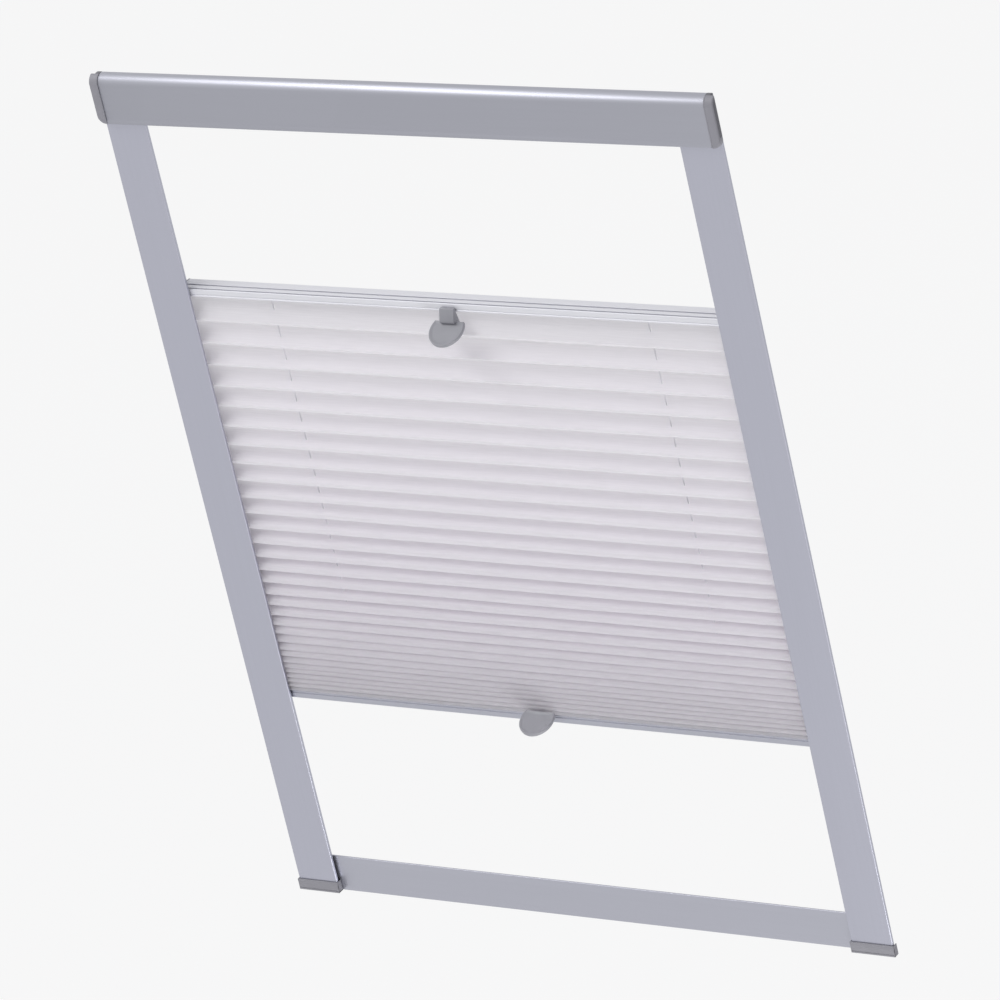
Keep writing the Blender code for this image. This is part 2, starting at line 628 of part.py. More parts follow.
def rail_cord(name, side, level, way):
    """A cord inside a moving rail: in at one slider, across, and out of the far guide to the cloth."""
    inside = level + way * CORD_LEVEL
    lane = MID_DEPTH + side * LANE
    far = -side * GUIDE_X
    corners = [(side * CORD_X, MID_DEPTH, level + way * 10.9), (side * CORD_X, MID_DEPTH, inside)]
    corners += [(side * 256.0, MID_DEPTH, inside), (side * 246.0, lane, inside)]
    corners += [(far + side * 12.0, lane, inside), (far + side * 3.5, MID_DEPTH, inside)]
    corners += [(far, MID_DEPTH, inside), (far, MID_DEPTH, level + way * 0.1)]
    return tube(name, eased(corners, 1.6), CORD_D, cord_fibre())


def straight_cord(name, x, high, low, steps=2):
    """An upright stretch of cord."""
    levels = [high + (low - high) * step / steps for step in range(steps + 1)]
    return tube(name, [(x, MID_DEPTH, level) for level in levels], CORD_D, cord_fibre())


def spring(side, name, low, high):
    """An extension spring: one unbroken wire with straight ends on its axis."""
    x = side * CORD_X
    coil_height = SPRING_TURNS * SPRING_PITCH
    start = (low + high - coil_height) / 2
    points = [(x, MID_DEPTH, low), (x, MID_DEPTH, start - 1.6)]
    per_turn = 9
    for step in range(SPRING_TURNS * per_turn + 1):
        turn = 2 * math.pi * step / per_turn
        level = start + coil_height * step / (SPRING_TURNS * per_turn)
        points.append((x + SPRING_R * math.cos(turn), MID_DEPTH + SPRING_R * math.sin(turn), level))
    points += [(x, MID_DEPTH, start + coil_height + 1.6), (x, MID_DEPTH, high)]
    print(f"{name}: least gap between turns {SPRING_PITCH - WIRE_D:.2f} mm")
    return tube(name, points, WIRE_D, steel(), 1)


def cord_anchor(side, name):
    """A ferrule on top of the corner piece, closed above, that grips the cord's end."""
    outline = [(0.0, 6.0), (2.2, 6.0), (2.8, 5.4), (2.8, 0.0), (0.95, 0.0), (0.95, 4.0), (0.0, 4.0)]
    return turned(name, (side * CORD_X, MID_DEPTH, 4.0 + GAP), (0, 0, 1), outline, steel(), 16)


def joint_empty(name, level):
    made = bpy.data.objects.new(name, None)
    bpy.context.scene.collection.objects.link(made)
    made.location = (0.0, (FRONT_Y + MID_DEPTH) * MM, level * MM)
    bpy.context.view_layer.update()
    return made


def build_fixed():
    head_rail()
    head_cover()
    bottom_bar()
    for side, hand in ((-1, "left"), (1, "right")):
        side_rail(side, f"side_rail_{hand}")
        head_cap(side, f"head_cap_{hand}")
        foot_cap(side, f"foot_cap_{hand}")
        top_corner(side, f"top_corner_{hand}")
        bottom_corner(side, f"bottom_corner_{hand}")
        cord_anchor(side, f"cord_anchor_{hand}")
        spring(side, f"cord_spring_{hand}", SPRING_LOW, SPRING_HIGH)
        under_head = (side * HEAD_SCREW_X, MID_DEPTH, HEAD_RAIL_BOTTOM - GAP)
        pan_screw(f"head_screw_{hand}", under_head, (0, 0, 1), steel(), 13.0)
        behind_bar = (side * BAR_SCREW_X, BAR_BACK + GAP, BAR_SCREW_LEVEL)
        pan_screw(f"bar_screw_{hand}", behind_bar, (0, -1, 0), steel(), 8.0)


def build_moving():
    face = MID_DEPTH - MOVING_DEPTH / 2 - GAP
    for prefix, level, way in (("upper", UPPER_CLOTH_SIDE, 1), ("lower", LOWER_CLOTH_SIDE, -1)):
        pieces = moving_rail(prefix, level, way)
        hook = level + way * HOOK_LEVEL
        if way == 1:
            pieces.append(handle("upper_handle", -0.6, upper_stem(face, level), hook, level - 8.6, 30.0))
        else:
            stem = lower_stem(face, level)
            pieces.append(handle("lower_handle", LOWER_HANDLE_X, stem, hook, level + 2.8, 24.0))
        for side, hand in ((-1, "left"), (1, "right")):
            pieces.append(rail_cord(f"cord_{prefix}_{hand}", side, level, way))
        put_on(joint_empty(f"{prefix}_slide", level), pieces)


def build_cloth_and_cords():
    pleated_cloth()
    for side, hand in ((-1, "left"), (1, "right")):
        straight_cord(f"cord_top_{hand}", side * CORD_X, 7.9, UPPER_CLOTH_SIDE + 11.3)
        straight_cord(f"cord_cloth_{hand}", side * GUIDE_X, UPPER_CLOTH_SIDE - 0.2, LOWER_CLOTH_SIDE + 0.2)
        straight_cord(f"cord_bottom_{hand}", side * CORD_X, LOWER_CLOTH_SIDE - 11.3, -727.2)


clear_scene()
build_fixed()
build_moving()
build_cloth_and_cords()
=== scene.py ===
import math

import bmesh
import bpy
import numpy as np
from mathutils import Matrix, Vector


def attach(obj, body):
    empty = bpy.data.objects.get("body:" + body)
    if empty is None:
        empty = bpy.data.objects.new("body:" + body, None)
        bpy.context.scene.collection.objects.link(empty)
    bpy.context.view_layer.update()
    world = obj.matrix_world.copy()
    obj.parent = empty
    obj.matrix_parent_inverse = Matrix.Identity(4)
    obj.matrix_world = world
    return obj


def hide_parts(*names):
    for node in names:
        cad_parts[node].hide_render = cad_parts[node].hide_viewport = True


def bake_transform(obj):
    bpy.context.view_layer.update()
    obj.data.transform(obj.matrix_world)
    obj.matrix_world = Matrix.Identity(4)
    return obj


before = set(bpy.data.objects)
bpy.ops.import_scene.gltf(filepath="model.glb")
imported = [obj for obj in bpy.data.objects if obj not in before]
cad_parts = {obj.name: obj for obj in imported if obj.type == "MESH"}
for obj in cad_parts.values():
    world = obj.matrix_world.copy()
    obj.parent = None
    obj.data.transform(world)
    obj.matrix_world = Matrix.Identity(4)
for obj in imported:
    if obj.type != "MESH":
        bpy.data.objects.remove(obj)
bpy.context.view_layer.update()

mm = 0.001
print("frame loaded:", len(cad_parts), "nodes")


# Shared helpers

def hexToLinear(code):
    # Linear red, green, blue and alpha of an sRGB hex colour.
    parts = np.array([int(code[i:i + 2], 16) for i in (0, 2, 4)]) / 255
    linear = np.where(parts <= 0.04045, parts / 12.92, ((parts + 0.055) / 1.055) ** 2.4)
    return (*linear.tolist(), 1.0)


def addNode(tree, kind, settings=None, inputs=None):
    # A shader node with its settings and inputs; an input given as a socket becomes a link.
    node = tree.nodes.new("ShaderNode" + kind)
    for key, value in (settings or {}).items():
        setattr(node, key, value)
    for key, value in (inputs or {}).items():
        if isinstance(value, bpy.types.NodeSocket):
            tree.links.new(value, node.inputs[key])
        else:
            node.inputs[key].default_value = value
    return node


def startMaterial(name, roughness, metallic=0.0):
    # A new material with its tree and its Principled shader.
    made = bpy.data.materials.new(name)
    made.use_nodes = True
    shader = made.node_tree.nodes["Principled BSDF"]
    shader.inputs["Roughness"].default_value = roughness
    shader.inputs["Metallic"].default_value = metallic
    return made, made.node_tree, shader


def roundCorners(corners, radii, steps=4):
    # Outline with rounded corners: a corner becomes a parabola between points a radius away on its two
    # edges, (1-t)^2 start + 2t(1-t) corner + t^2 end; a corner of radius 0 stays one point.
    corner = np.asarray(corners, float)
    reach = np.broadcast_to(np.asarray(radii, float), len(corner))[:, None]
    before, after = np.roll(corner, 1, 0) - corner, np.roll(corner, -1, 0) - corner
    lengthBefore = np.linalg.norm(before, axis=1, keepdims=True)
    lengthAfter = np.linalg.norm(after, axis=1, keepdims=True)
    start = corner + before / lengthBefore * np.minimum(reach, lengthBefore * 0.49)
    end = corner + after / lengthAfter * np.minimum(reach, lengthAfter * 0.49)
    t = np.linspace(0, 1, steps + 1)[None, :, None]
    curve = (1 - t) ** 2 * start[:, None] + 2 * t * (1 - t) * corner[:, None] + t**2 * end[:, None]
    kept = (reach > 0) | (np.arange(steps + 1) == 0)
    return curve[kept]


def insetCorners(corners, distance):
    # Outline moved inwards by a distance: a corner goes along (n1 + n2) / (1 + n1 n2), where n1 and n2 are
    # the outward normals of its two edges.
    edge = np.roll(corners, -1, 0) - corners
    normal = np.stack([edge[:, 1], -edge[:, 0]], 1) / np.linalg.norm(edge, axis=1, keepdims=True)
    other = np.roll(normal, 1, 0)
    miter = (normal + other) / (1 + np.sum(normal * other, axis=1, keepdims=True))
    area = np.sum(corners[:, 0] * np.roll(corners[:, 1], -1) - corners[:, 1] * np.roll(corners[:, 0], -1))
    return corners - miter * distance * np.sign(area)


def meshObject(name, points, faces, finish, sharp=30.0):
    # A smooth-shaded object from points in metres, with its faces turned outwards.
    mesh = bpy.data.meshes.new(name)
    mesh.from_pydata(np.asarray(points).reshape(-1, 3), [], faces)
    work = bmesh.new()
    work.from_mesh(mesh)
    bmesh.ops.remove_doubles(work, verts=work.verts, dist=1e-7)
    bmesh.ops.recalc_face_normals(work, faces=work.faces)
    work.to_mesh(mesh)
    work.free()
    mesh.shade_smooth()
    mesh.set_sharp_from_angle(angle=math.radians(sharp))
    made = bpy.data.objects.new(name, mesh)
    bpy.context.scene.collection.objects.link(made)
    mesh.materials.append(finish)
    return made


def gridFaces(rows, columns, wrap):
    # Quads of a grid of points, row after row; wrap joins its last column to its first.
    r, c = np.meshgrid(np.arange(rows - 1), np.arange(columns if wrap else columns - 1), indexing="ij")
    nextColumn = (c + 1) % columns
    quads = [r * columns + c, r * columns + nextColumn, (r + 1) * columns + nextColumn, (r + 1) * columns + c]
    return np.stack(quads, -1).reshape(-1, 4)


def sweepSolid(name, corners, radii, low, high, finish, place, edge=0.15, steps=2, sharp=30.0, between=(),
               reshape=None):
    # Closed solid: a rounded outline carried from low to high, whose two ends are rounded over by quarter
    # circles of radius edge. place maps (a, b, along) arrays to X, Y and Z. reshape(corners, along) can give
    # the outline another form on its way, with further rings at the stations in between.
    corners = np.asarray(corners, float)
    radii = np.broadcast_to(np.asarray(radii, float), len(corners))
    turn = np.linspace(0, np.pi / 2, steps + 1)
    fromEnd = edge * (1 - np.cos(turn))
    insets = edge * (1 - np.sin(turn))
    stations = np.concatenate([low + fromEnd, between, (high - fromEnd)[::-1]])
    insets = np.concatenate([insets, np.zeros(len(between)), insets[::-1]])
    rings = []
    for station, inset in zip(stations, insets):
        outline = reshape(corners, station) if reshape else corners
        left = np.where(radii > 0, np.maximum(radii - inset, 0.02), 0)
        rings.append(roundCorners(insetCorners(outline, inset), left))
    rings = np.stack(rings)
    count = rings.shape[1]
    a, b = rings[..., 0], rings[..., 1]
    points = np.stack(place(a, b, np.broadcast_to(stations[:, None], a.shape)), -1) * mm
    faces = gridFaces(len(stations), count, True).tolist()
    last = (len(stations) - 1) * count
    faces += [list(range(count))[::-1], list(range(last, last + count))]
    return meshObject(name, points, faces, finish, sharp)


def alongX(a, b, along):
    # For a section in Y and Z, carried along X.
    return along, a, b


def alongZ(a, b, along):
    # For a section in X and Y, carried along Z.
    return a, b, along


def roundedBlock(name, x, y, z, finish, radius=0.6):
    # A box with its edges rounded, between two values on each axis.
    corners = [(y[0], z[0]), (y[1], z[0]), (y[1], z[1]), (y[0], z[1])]
    return sweepSolid(name, corners, radius, min(x), max(x), finish, alongX, radius, 3, 40.0)


def latheSolid(name, profile, centre, direction, finish, sides=48, sharp=30.0):
    # Surface of revolution: points (radius, height) turned about the line through centre along direction.
    profile = np.asarray(profile, float)
    angle = np.linspace(0, 2 * np.pi, sides, endpoint=False)[:, None]
    local = np.stack([profile[:, 0] * np.cos(angle), profile[:, 0] * np.sin(angle),
                      np.broadcast_to(profile[:, 1], (sides, len(profile)))], -1)
    turn = np.array(Vector(direction).to_track_quat("Z", "Y").to_matrix())
    points = (local @ turn.T + np.asarray(centre)) * mm
    closed = profile[0, 0] > 0
    faces = gridFaces(sides + 1, len(profile), closed) % (sides * len(profile))
    return meshObject(name, points, faces.tolist(), finish, sharp)


def tubeSolid(name, path, radius, finish, sides=12, reference=(0, 1, 0)):
    # Round tube: a circle carried along a path, set square to it by a reference direction that the path
    # never takes, with a flat cap at each end.
    path = np.asarray(path, float)
    tangent = np.gradient(path, axis=0)
    tangent /= np.linalg.norm(tangent, axis=1, keepdims=True)
    across = np.cross(np.asarray(reference, float), tangent)
    across /= np.linalg.norm(across, axis=1, keepdims=True)
    upward = np.cross(tangent, across)
    angle = np.linspace(0, 2 * np.pi, sides, endpoint=False)[None, :, None]
    ring = across[:, None] * np.cos(angle) + upward[:, None] * np.sin(angle)
    points = (path[:, None] + ring * radius) * mm
    faces = gridFaces(len(path), sides, True).tolist()
    last = (len(path) - 1) * sides
    faces += [list(range(sides))[::-1], list(range(last, last + sides))]
    return meshObject(name, points, faces, finish, 50.0)


def bakedBoolean(target, tool, operation):
    # Adds or cuts with a tool, writes the result into the target's mesh and removes the tool.
    change = target.modifiers.new("shape", "BOOLEAN")
    change.operation = operation
    change.solver = "EXACT"
    change.object = tool
    bpy.context.view_layer.update()
    result = bpy.data.meshes.new_from_object(target.evaluated_get(bpy.context.evaluated_depsgraph_get()))
    target.modifiers.clear()
    target.data = result
    bpy.data.objects.remove(tool, do_unlink=True)


def finished(piece, body, slotName, *nodes):
    # Hides the CAD nodes that a piece stands for and makes it ride on its body. Its slot name is not used.
    if nodes:
        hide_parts(*nodes)
    if body:
        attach(piece, body)


def dressNode(name, finish):
    # Gives a CAD node that stays its material.
    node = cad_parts[name]
    node.data.materials.clear()
    node.data.materials.append(finish)


fixedBody, upperBody, lowerBody = "frame", "upper_rail_set", "lower_rail_set"
sides = ((-1, "left", "Left"), (1, "right", "Right"))


# Camera: a long lens above and to the right of the blind, turned on its own axis

cameraView = {
    "place": (2.98280, -4.02135, 1.97992),  # metres
    "aim": (0.00901, -0.024, -0.35338),
    "roll": -13.195,  # degrees, clockwise in the picture
    "lens": 238.669,  # mm on a 36 mm sensor
}


def makeCamera():
    # Looks from its place along the line to its aim, then turns about that line by its roll.
    data = bpy.data.cameras.new("photoCamera")
    data.lens, data.sensor_width = cameraView["lens"], 36.0
    data.clip_start, data.clip_end = 0.1, 100.0
    camera = bpy.data.objects.new("photoCamera", data)
    bpy.context.scene.collection.objects.link(camera)
    place, aim = Vector(cameraView["place"]), Vector(cameraView["aim"])
    turn = (aim - place).to_track_quat("-Z", "Y").to_matrix().to_4x4()
    roll = Matrix.Rotation(math.radians(cameraView["roll"]), 4, "Z")
    camera.matrix_world = Matrix.Translation(place) @ turn @ roll
    bpy.context.scene.camera = camera


makeCamera()


# Studio: a pale floor far below, an even world and two large soft lamps

studio = {
    "floorLevel": -2.1,
    "backdrop": "FEFEFE",
    "worldColour": "F4F5FA",
    "worldStrength": 0.46,
    "floorColour": "F2F2F3", "floorHalf": 30.0,
    "floorShown": 0.88,  # how much of the floor is plain backdrop; the rest keeps its shadow
    "middle": (0, -0.02, -0.36),  # what the lamps point at
    "lamps": (  # name, direction to the lamp, distance, width, height, power in watts
        ("topLamp", (-0.45, -0.42, 0.78), 3.2, 3.0, 1.15, 44.0),
        ("lowLamp", (0.46, -0.50, -0.84), 2.0, 1.0, 1.0, 18.0),
    ),
}


def backdropRays(tree):
    # 1 for a ray from the camera, off a glossy surface or through glass, and 0 for one that lights.
    path = addNode(tree, "LightPath")
    seen = addNode(tree, "Math", {"operation": "MAXIMUM"},
                   {0: path.outputs["Is Camera Ray"], 1: path.outputs["Is Glossy Ray"]})
    through = addNode(tree, "Math", {"operation": "MAXIMUM"},
                      {0: seen.outputs[0], 1: path.outputs["Is Transmission Ray"]})
    return through.outputs[0]


def makeWorld():
    # An even light, and the plain backdrop for the rays that show it.
    world = bpy.data.worlds.new("studioWorld")
    bpy.context.scene.world = world
    world.use_nodes = True
    tree = world.node_tree
    tree.nodes.clear()
    light = addNode(tree, "Background", None,
                    {"Color": hexToLinear(studio["worldColour"]), "Strength": studio["worldStrength"]})
    shown = addNode(tree, "Background", None, {"Color": hexToLinear(studio["backdrop"]), "Strength": 1.0})
    mixed = addNode(tree, "MixShader", None,
                    {0: backdropRays(tree), 1: light.outputs[0], 2: shown.outputs[0]})
    addNode(tree, "OutputWorld", None, {"Surface": mixed.outputs[0]})


def makeLamps():
    # Rectangular lamps, each a distance away from the blind's middle and turned to face it.
    middle = Vector(studio["middle"])
    for name, direction, distance, width, height, power in studio["lamps"]:
        data = bpy.data.lights.new(name, "AREA")
        data.shape, data.size, data.size_y, data.energy = "RECTANGLE", width, height, power
        lamp = bpy.data.objects.new(name, data)
        bpy.context.scene.collection.objects.link(lamp)
        away = Vector(direction).normalized()
        lamp.matrix_world = (Matrix.Translation(middle + away * distance)
                             @ away.to_track_quat("Z", "Y").to_matrix().to_4x4())


def makeFloor():
    # A large square that shows mostly as plain backdrop.
    finish, tree, shader = startMaterial("paleStudioFloor", 0.9)
    shader.inputs["Base Color"].default_value = hexToLinear(studio["floorColour"])
    share = addNode(tree, "Math", {"operation": "MULTIPLY"}, {0: backdropRays(tree), 1: studio["floorShown"]})
    plain = addNode(tree, "Emission", None, {"Color": hexToLinear(studio["backdrop"]), "Strength": 1.0})
    mixed = addNode(tree, "MixShader", None, {0: share.outputs[0], 1: shader.outputs[0], 2: plain.outputs[0]})
    tree.links.new(mixed.outputs[0], tree.nodes["Material Output"].inputs["Surface"])
    half, level = studio["floorHalf"], studio["floorLevel"]
    corners = [(-half, -half, level), (half, -half, level), (half, half, level), (-half, half, level)]
    floor = meshObject("studioFloor", corners, [(0, 1, 2, 3)], finish)


makeWorld()
makeLamps()
makeFloor()
bpy.context.scene.view_settings.view_transform = "Standard"
print("camera and studio ready")


# Materials

def ranged(tree, source, limits, results):
    # A texture's value, carried in a straight line from its limits to two results.
    carried = addNode(tree, "MapRange", None, {"Value": source, "From Min": limits[0], "From Max": limits[1],
                                               "To Min": results[0], "To Max": results[1]})
    return carried.outputs[0]


def tintSurface(tree, shader, code, tone):
    # Base colour: a hex colour times a tone near 1.
    tinted = addNode(tree, "Mix", {"data_type": "RGBA", "blend_type": "MULTIPLY"},
                     {"Factor": 1.0, "A": hexToLinear(code), "B": tone})
    tree.links.new(tinted.outputs["Result"], shader.inputs["Base Color"])
    return tinted.outputs["Result"]


def bumpSurface(tree, shader, height, strength, depth):
    # Fine relief of a depth in mm.
    bump = addNode(tree, "Bump", None, {"Strength": strength, "Distance": depth * mm, "Height": height})
    tree.links.new(bump.outputs[0], shader.inputs["Normal"])
    return bump.outputs[0]


def extrudedAluminium(name, code, along, roughness=0.38, metallic=0.85, lining=0.01):
    # Aluminium drawn through a die and satin anodised: faint lines along the profile, a soft broad shine.
    made, tree, shader = startMaterial(name, roughness, metallic)
    lineWidth, lineLength = 0.9, 120.0  # mm; the real die lines are finer and would not show
    scale = [1 / lineWidth] * 3
    scale["XYZ".index(along)] = 1 / lineLength
    place = addNode(tree, "TexCoord")
    stretch = addNode(tree, "Mapping", None,
                      {"Vector": place.outputs["Object"], "Scale": [1000 * s for s in scale]})
    lines = addNode(tree, "TexNoise", None, {"Vector": stretch.outputs[0], "Scale": 1.0, "Detail": 3.0})
    tintSurface(tree, shader, code, ranged(tree, lines.outputs[0], (0.3, 0.7), (0.985, 1.012)))
    rough = ranged(tree, lines.outputs[0], (0.3, 0.7), (roughness - 0.03, roughness + 0.03))
    tree.links.new(rough, shader.inputs["Roughness"])
    bumpSurface(tree, shader, lines.outputs[0], 0.12, lining)
    return made


def mouldedPlastic(name, code, roughness=0.5, grain=0.8, depth=0.03):
    # ABS from a spark-eroded mould: one even colour, a fine grain that scatters the light.
    made, tree, shader = startMaterial(name, roughness)
    place = addNode(tree, "TexCoord").outputs["Object"]
    grains = addNode(tree, "TexNoise", None, {"Vector": place, "Scale": 1000 / grain, "Detail": 2.0})
    clouds = addNode(tree, "TexNoise", None, {"Vector": place, "Scale": 60.0, "Detail": 2.0})
    tintSurface(tree, shader, code, ranged(tree, clouds.outputs[0], (0.35, 0.65), (0.975, 1.02)))
    rough = ranged(tree, grains.outputs[0], (0.35, 0.65), (roughness - 0.05, roughness + 0.05))
    tree.links.new(rough, shader.inputs["Roughness"])
    bumpSurface(tree, shader, grains.outputs[0], 0.5, depth)
    return made


def wovenPolyester(code="F5F3F6", shownThrough=0.55):
    # Plain-woven polyester set in pleats: crossing threads, a few thicker ones, a dull soft surface. A share
    # of the light goes through it.
    made, tree, shader = startMaterial("wovenPolyester", 0.82)
    thread = 1.1  # mm; the real threads are about 0.25 mm apart and would not show
    chart = addNode(tree, "UVMap", {"uv_map": "cloth"})
    weft, warp = [addNode(tree, "TexWave", {"bands_direction": way},
                          {"Vector": chart.outputs[0], "Scale": 1000 / thread / 20, "Distortion": 0.6,
                           "Detail": 1.0, "Detail Scale": 2.0}).outputs["Fac"] for way in "YX"]
    weave = addNode(tree, "Math", {"operation": "ADD"}, {0: weft, 1: warp})
    slubs = addNode(tree, "Mapping", None, {"Vector": chart.outputs[0], "Scale": (30.0, 900.0, 1.0)})
    slub = addNode(tree, "TexNoise", None, {"Vector": slubs.outputs[0], "Scale": 1.0, "Detail": 2.0})
    tinted = tintSurface(tree, shader, code, ranged(tree, slub.outputs[0], (0.3, 0.7), (0.975, 1.02)))
    bump = bumpSurface(tree, shader, weave.outputs[0], 0.3, 0.05)
    through = addNode(tree, "BsdfTranslucent", None, {"Color": tinted, "Normal": bump})
    shared = addNode(tree, "MixShader", None, {0: shownThrough, 1: shader.outputs[0], 2: through.outputs[0]})
    tree.links.new(shared.outputs[0], tree.nodes["Material Output"].inputs["Surface"])
    return made


def zincPlatedSteel():
    # Steel with a thin bright zinc coat: a cool grey metal, slightly cloudy.
    made, tree, shader = startMaterial("zincPlatedSteel", 0.3, 1.0)
    place = addNode(tree, "TexCoord").outputs["Object"]
    clouds = addNode(tree, "TexNoise", None, {"Vector": place, "Scale": 900.0, "Detail": 3.0})
    rough = ranged(tree, clouds.outputs[0], (0.3, 0.7), (0.24, 0.4))
    tree.links.new(rough, shader.inputs["Roughness"])
    tintSurface(tree, shader, "BFC2C8", ranged(tree, clouds.outputs[0], (0.3, 0.7), (0.92, 1.05)))
    return made


def braidedCord():
    # Braided polyester cord: strands that cross round it, drawn as short slanted ribs.
    made, tree, shader = startMaterial("braidedCord", 0.75)
    strand = 1.4  # mm from rib to rib
    place = addNode(tree, "TexCoord")
    braid = addNode(tree, "TexWave", {"bands_direction": "DIAGONAL"},
                    {"Vector": place.outputs["Object"], "Scale": 1000 / strand / 20, "Distortion": 1.0})
    tintSurface(tree, shader, "F1F0F4", ranged(tree, braid.outputs["Fac"], (0.0, 1.0), (0.86, 1.03)))
    bumpSurface(tree, shader, braid.outputs["Fac"], 0.4, 0.1)
    return made


satinAcross = extrudedAluminium("satinAnodisedAcross", "B4B5BF", "X")
satinCover = extrudedAluminium("satinAnodisedCover", "A7A8B1", "X", 0.43, 1.0)
satinUpright = extrudedAluminium("satinAnodisedUpright", "B7B8C4", "Z")
# The upper rail's paler, less metallic copy of the satin aluminium is painted light: it is the same aluminium
# as the lower rail, lightened for light falling on its front.
paintedLightAcross = extrudedAluminium("satinAnodisedAcrossPaintedLight", "E9E9EE", "X", 0.5, 0.4, 0.0)
capPlastic = mouldedPlastic("capPlastic", "9D9CA3")
# Darker plastic for the caps' inserts and seals: partly their own colour, partly painted shade on the caps'
# outer sides.
capInsertPlasticAndShade = mouldedPlastic("capInsertPlasticAndShade", "77767C", 0.55)
footPlastic = mouldedPlastic("footPlastic", "9B9AA0")
tabPlastic = mouldedPlastic("tabPlastic", "A5A5AB", 0.42, 0.9, 0.015)
innerPlastic = mouldedPlastic("innerPlastic", "C9C9CD", 0.45)
clothFinish = wovenPolyester()
zincFinish = zincPlatedSteel()
cordFinish = braidedCord()
print("materials ready")


# Head box

headBox = {
    "face": -30.0,  # Y of the cover's front
    "bandProud": 0.3, "bandHeight": 4.0, "bandFade": 1.8,
    "bottom": -17.0, "top": 26.6, "foot": -25.2,  # foot is the Y to which its lower edge turns in
    "topRadius": 8.3, "flatTopBack": -20.0,
    "wall": 1.4,
    "capInside": 293.8, "capOutside": 302.6, "capProud": 0.6, "capBack": -24.4, "capCorner": 7.5,
    "capBody": (-19.6, 298.5),  # its dark inner part: Y of the back, X of the outer side
    "overRail": (-14.2, -24.3),  # where that part steps over the side rail: level, Y
    "capFrom": 294.4, "rimFrom": 293.85, "rimTo": 295.2, "sealFrom": 298.2,
    "sealIn": 1.3, "sealSunk": 0.06,
}


def coverArc(radius, end=90.0, steps=24):
    # Quarter circle from the cover's face up to its flat top; end is in degrees from the top down.
    centre = (headBox["face"] + headBox["topRadius"], headBox["top"] - headBox["topRadius"])
    angle = np.radians(np.linspace(180, end, steps + 1))
    return np.stack([centre[0] + radius * np.cos(angle), centre[1] + radius * np.sin(angle)], 1)


def makeHeadCover():
    # A section in Y and Z carried along X: a flat face with a slightly proud band at its foot, a quarter
    # circle over to the flat top, a hook down at the back, and the same again a wall's thickness inside.
    face, wall, top, bottom = headBox["face"], headBox["wall"], headBox["top"], headBox["bottom"]
    band, back = face - headBox["bandProud"], headBox["flatTopBack"]
    bandTop = bottom + headBox["bandHeight"]
    turnedIn, bandBend = headBox["foot"], bandTop - headBox["bandFade"]
    front = [(turnedIn, bottom), (band, bottom), (band, bandBend), (face, bandTop)]
    hook = [(back, top), (back, top - 3.4), (back - wall, top - 3.4), (back - wall, top - wall)]
    outer = coverArc(headBox["topRadius"])
    inner = coverArc(headBox["topRadius"] - wall)[::-1]
    foot = [(face + wall, bottom + wall), (turnedIn, bottom + wall)]
    corners = np.concatenate([front, outer, hook, inner, foot])
    radii = np.concatenate([[0.3, 0.8, 0.9, 0.9], np.zeros(len(outer)), [0.5, 0.3, 0.3, 0.3],
                            np.zeros(len(inner)), [0.3, 0.3]])
    half = headBox["capInside"] - 0.15
    cover = sweepSolid("headCover", corners, radii, -half, half, satinCover, alongX, 0.12, 2)
    finished(cover, fixedBody, "anodised_aluminium", "head_cover")


def capSection(proud, back):
    # Corners and radii of an end cap's side view, proud of the cover all round and cut off at a Y value.
    radius = headBox["topRadius"] + proud
    before = min(back - headBox["face"] - headBox["topRadius"], 0.0)
    arcPoints = coverArc(radius, 115.0 if before else 90.0)
    bottom, front = headBox["bottom"] - proud, headBox["face"] - proud
    top = headBox["top"] - headBox["topRadius"] + math.sqrt(radius**2 - before**2)
    closing, radii = [(back, top), (back, bottom), (front, bottom)], [0.8, 0.5, 2.6]
    if not before:
        level, step = headBox["overRail"]
        closing[1:2] = [(back, level), (step, level), (step, bottom)]
        radii[1:2] = [0.5, 0.3, 0.5]
    return np.concatenate([arcPoints, closing]), np.concatenate([np.zeros(len(arcPoints)), radii])


def sealSection():
    # Corners and radii of the dark seal in an end cap's outer side, set in from the side's outline. Its
    # darker plastic is partly its own colour and partly painted shade along that side.
    radius = headBox["topRadius"] + headBox["capProud"] - headBox["sealIn"]
    arcPoints = coverArc(radius, 120.0)
    back, low = headBox["capBack"] - 0.6, headBox["bottom"] + headBox["capCorner"] + 1.0
    front = headBox["face"] - headBox["capProud"] + headBox["sealIn"]
    closing = [(back, arcPoints[-1, 1]), (back, low), (front, low)]
    return np.concatenate([arcPoints, closing]), np.concatenate([np.zeros(len(arcPoints)), [0.2, 0.3, 0.6]])


def liftedBottom(corners, along):
    # Rounds the cap's outer lower corner: there the bottom rises by R - sqrt(R^2 - d^2).
    radius = headBox["capCorner"]
    past = np.clip(along - (headBox["capOutside"] - radius), 0, radius)
    lifted = np.array(corners)
    low = lifted[:, 1] < 0
    lifted[low, 1] += radius - math.sqrt(radius**2 - past**2)
    return lifted


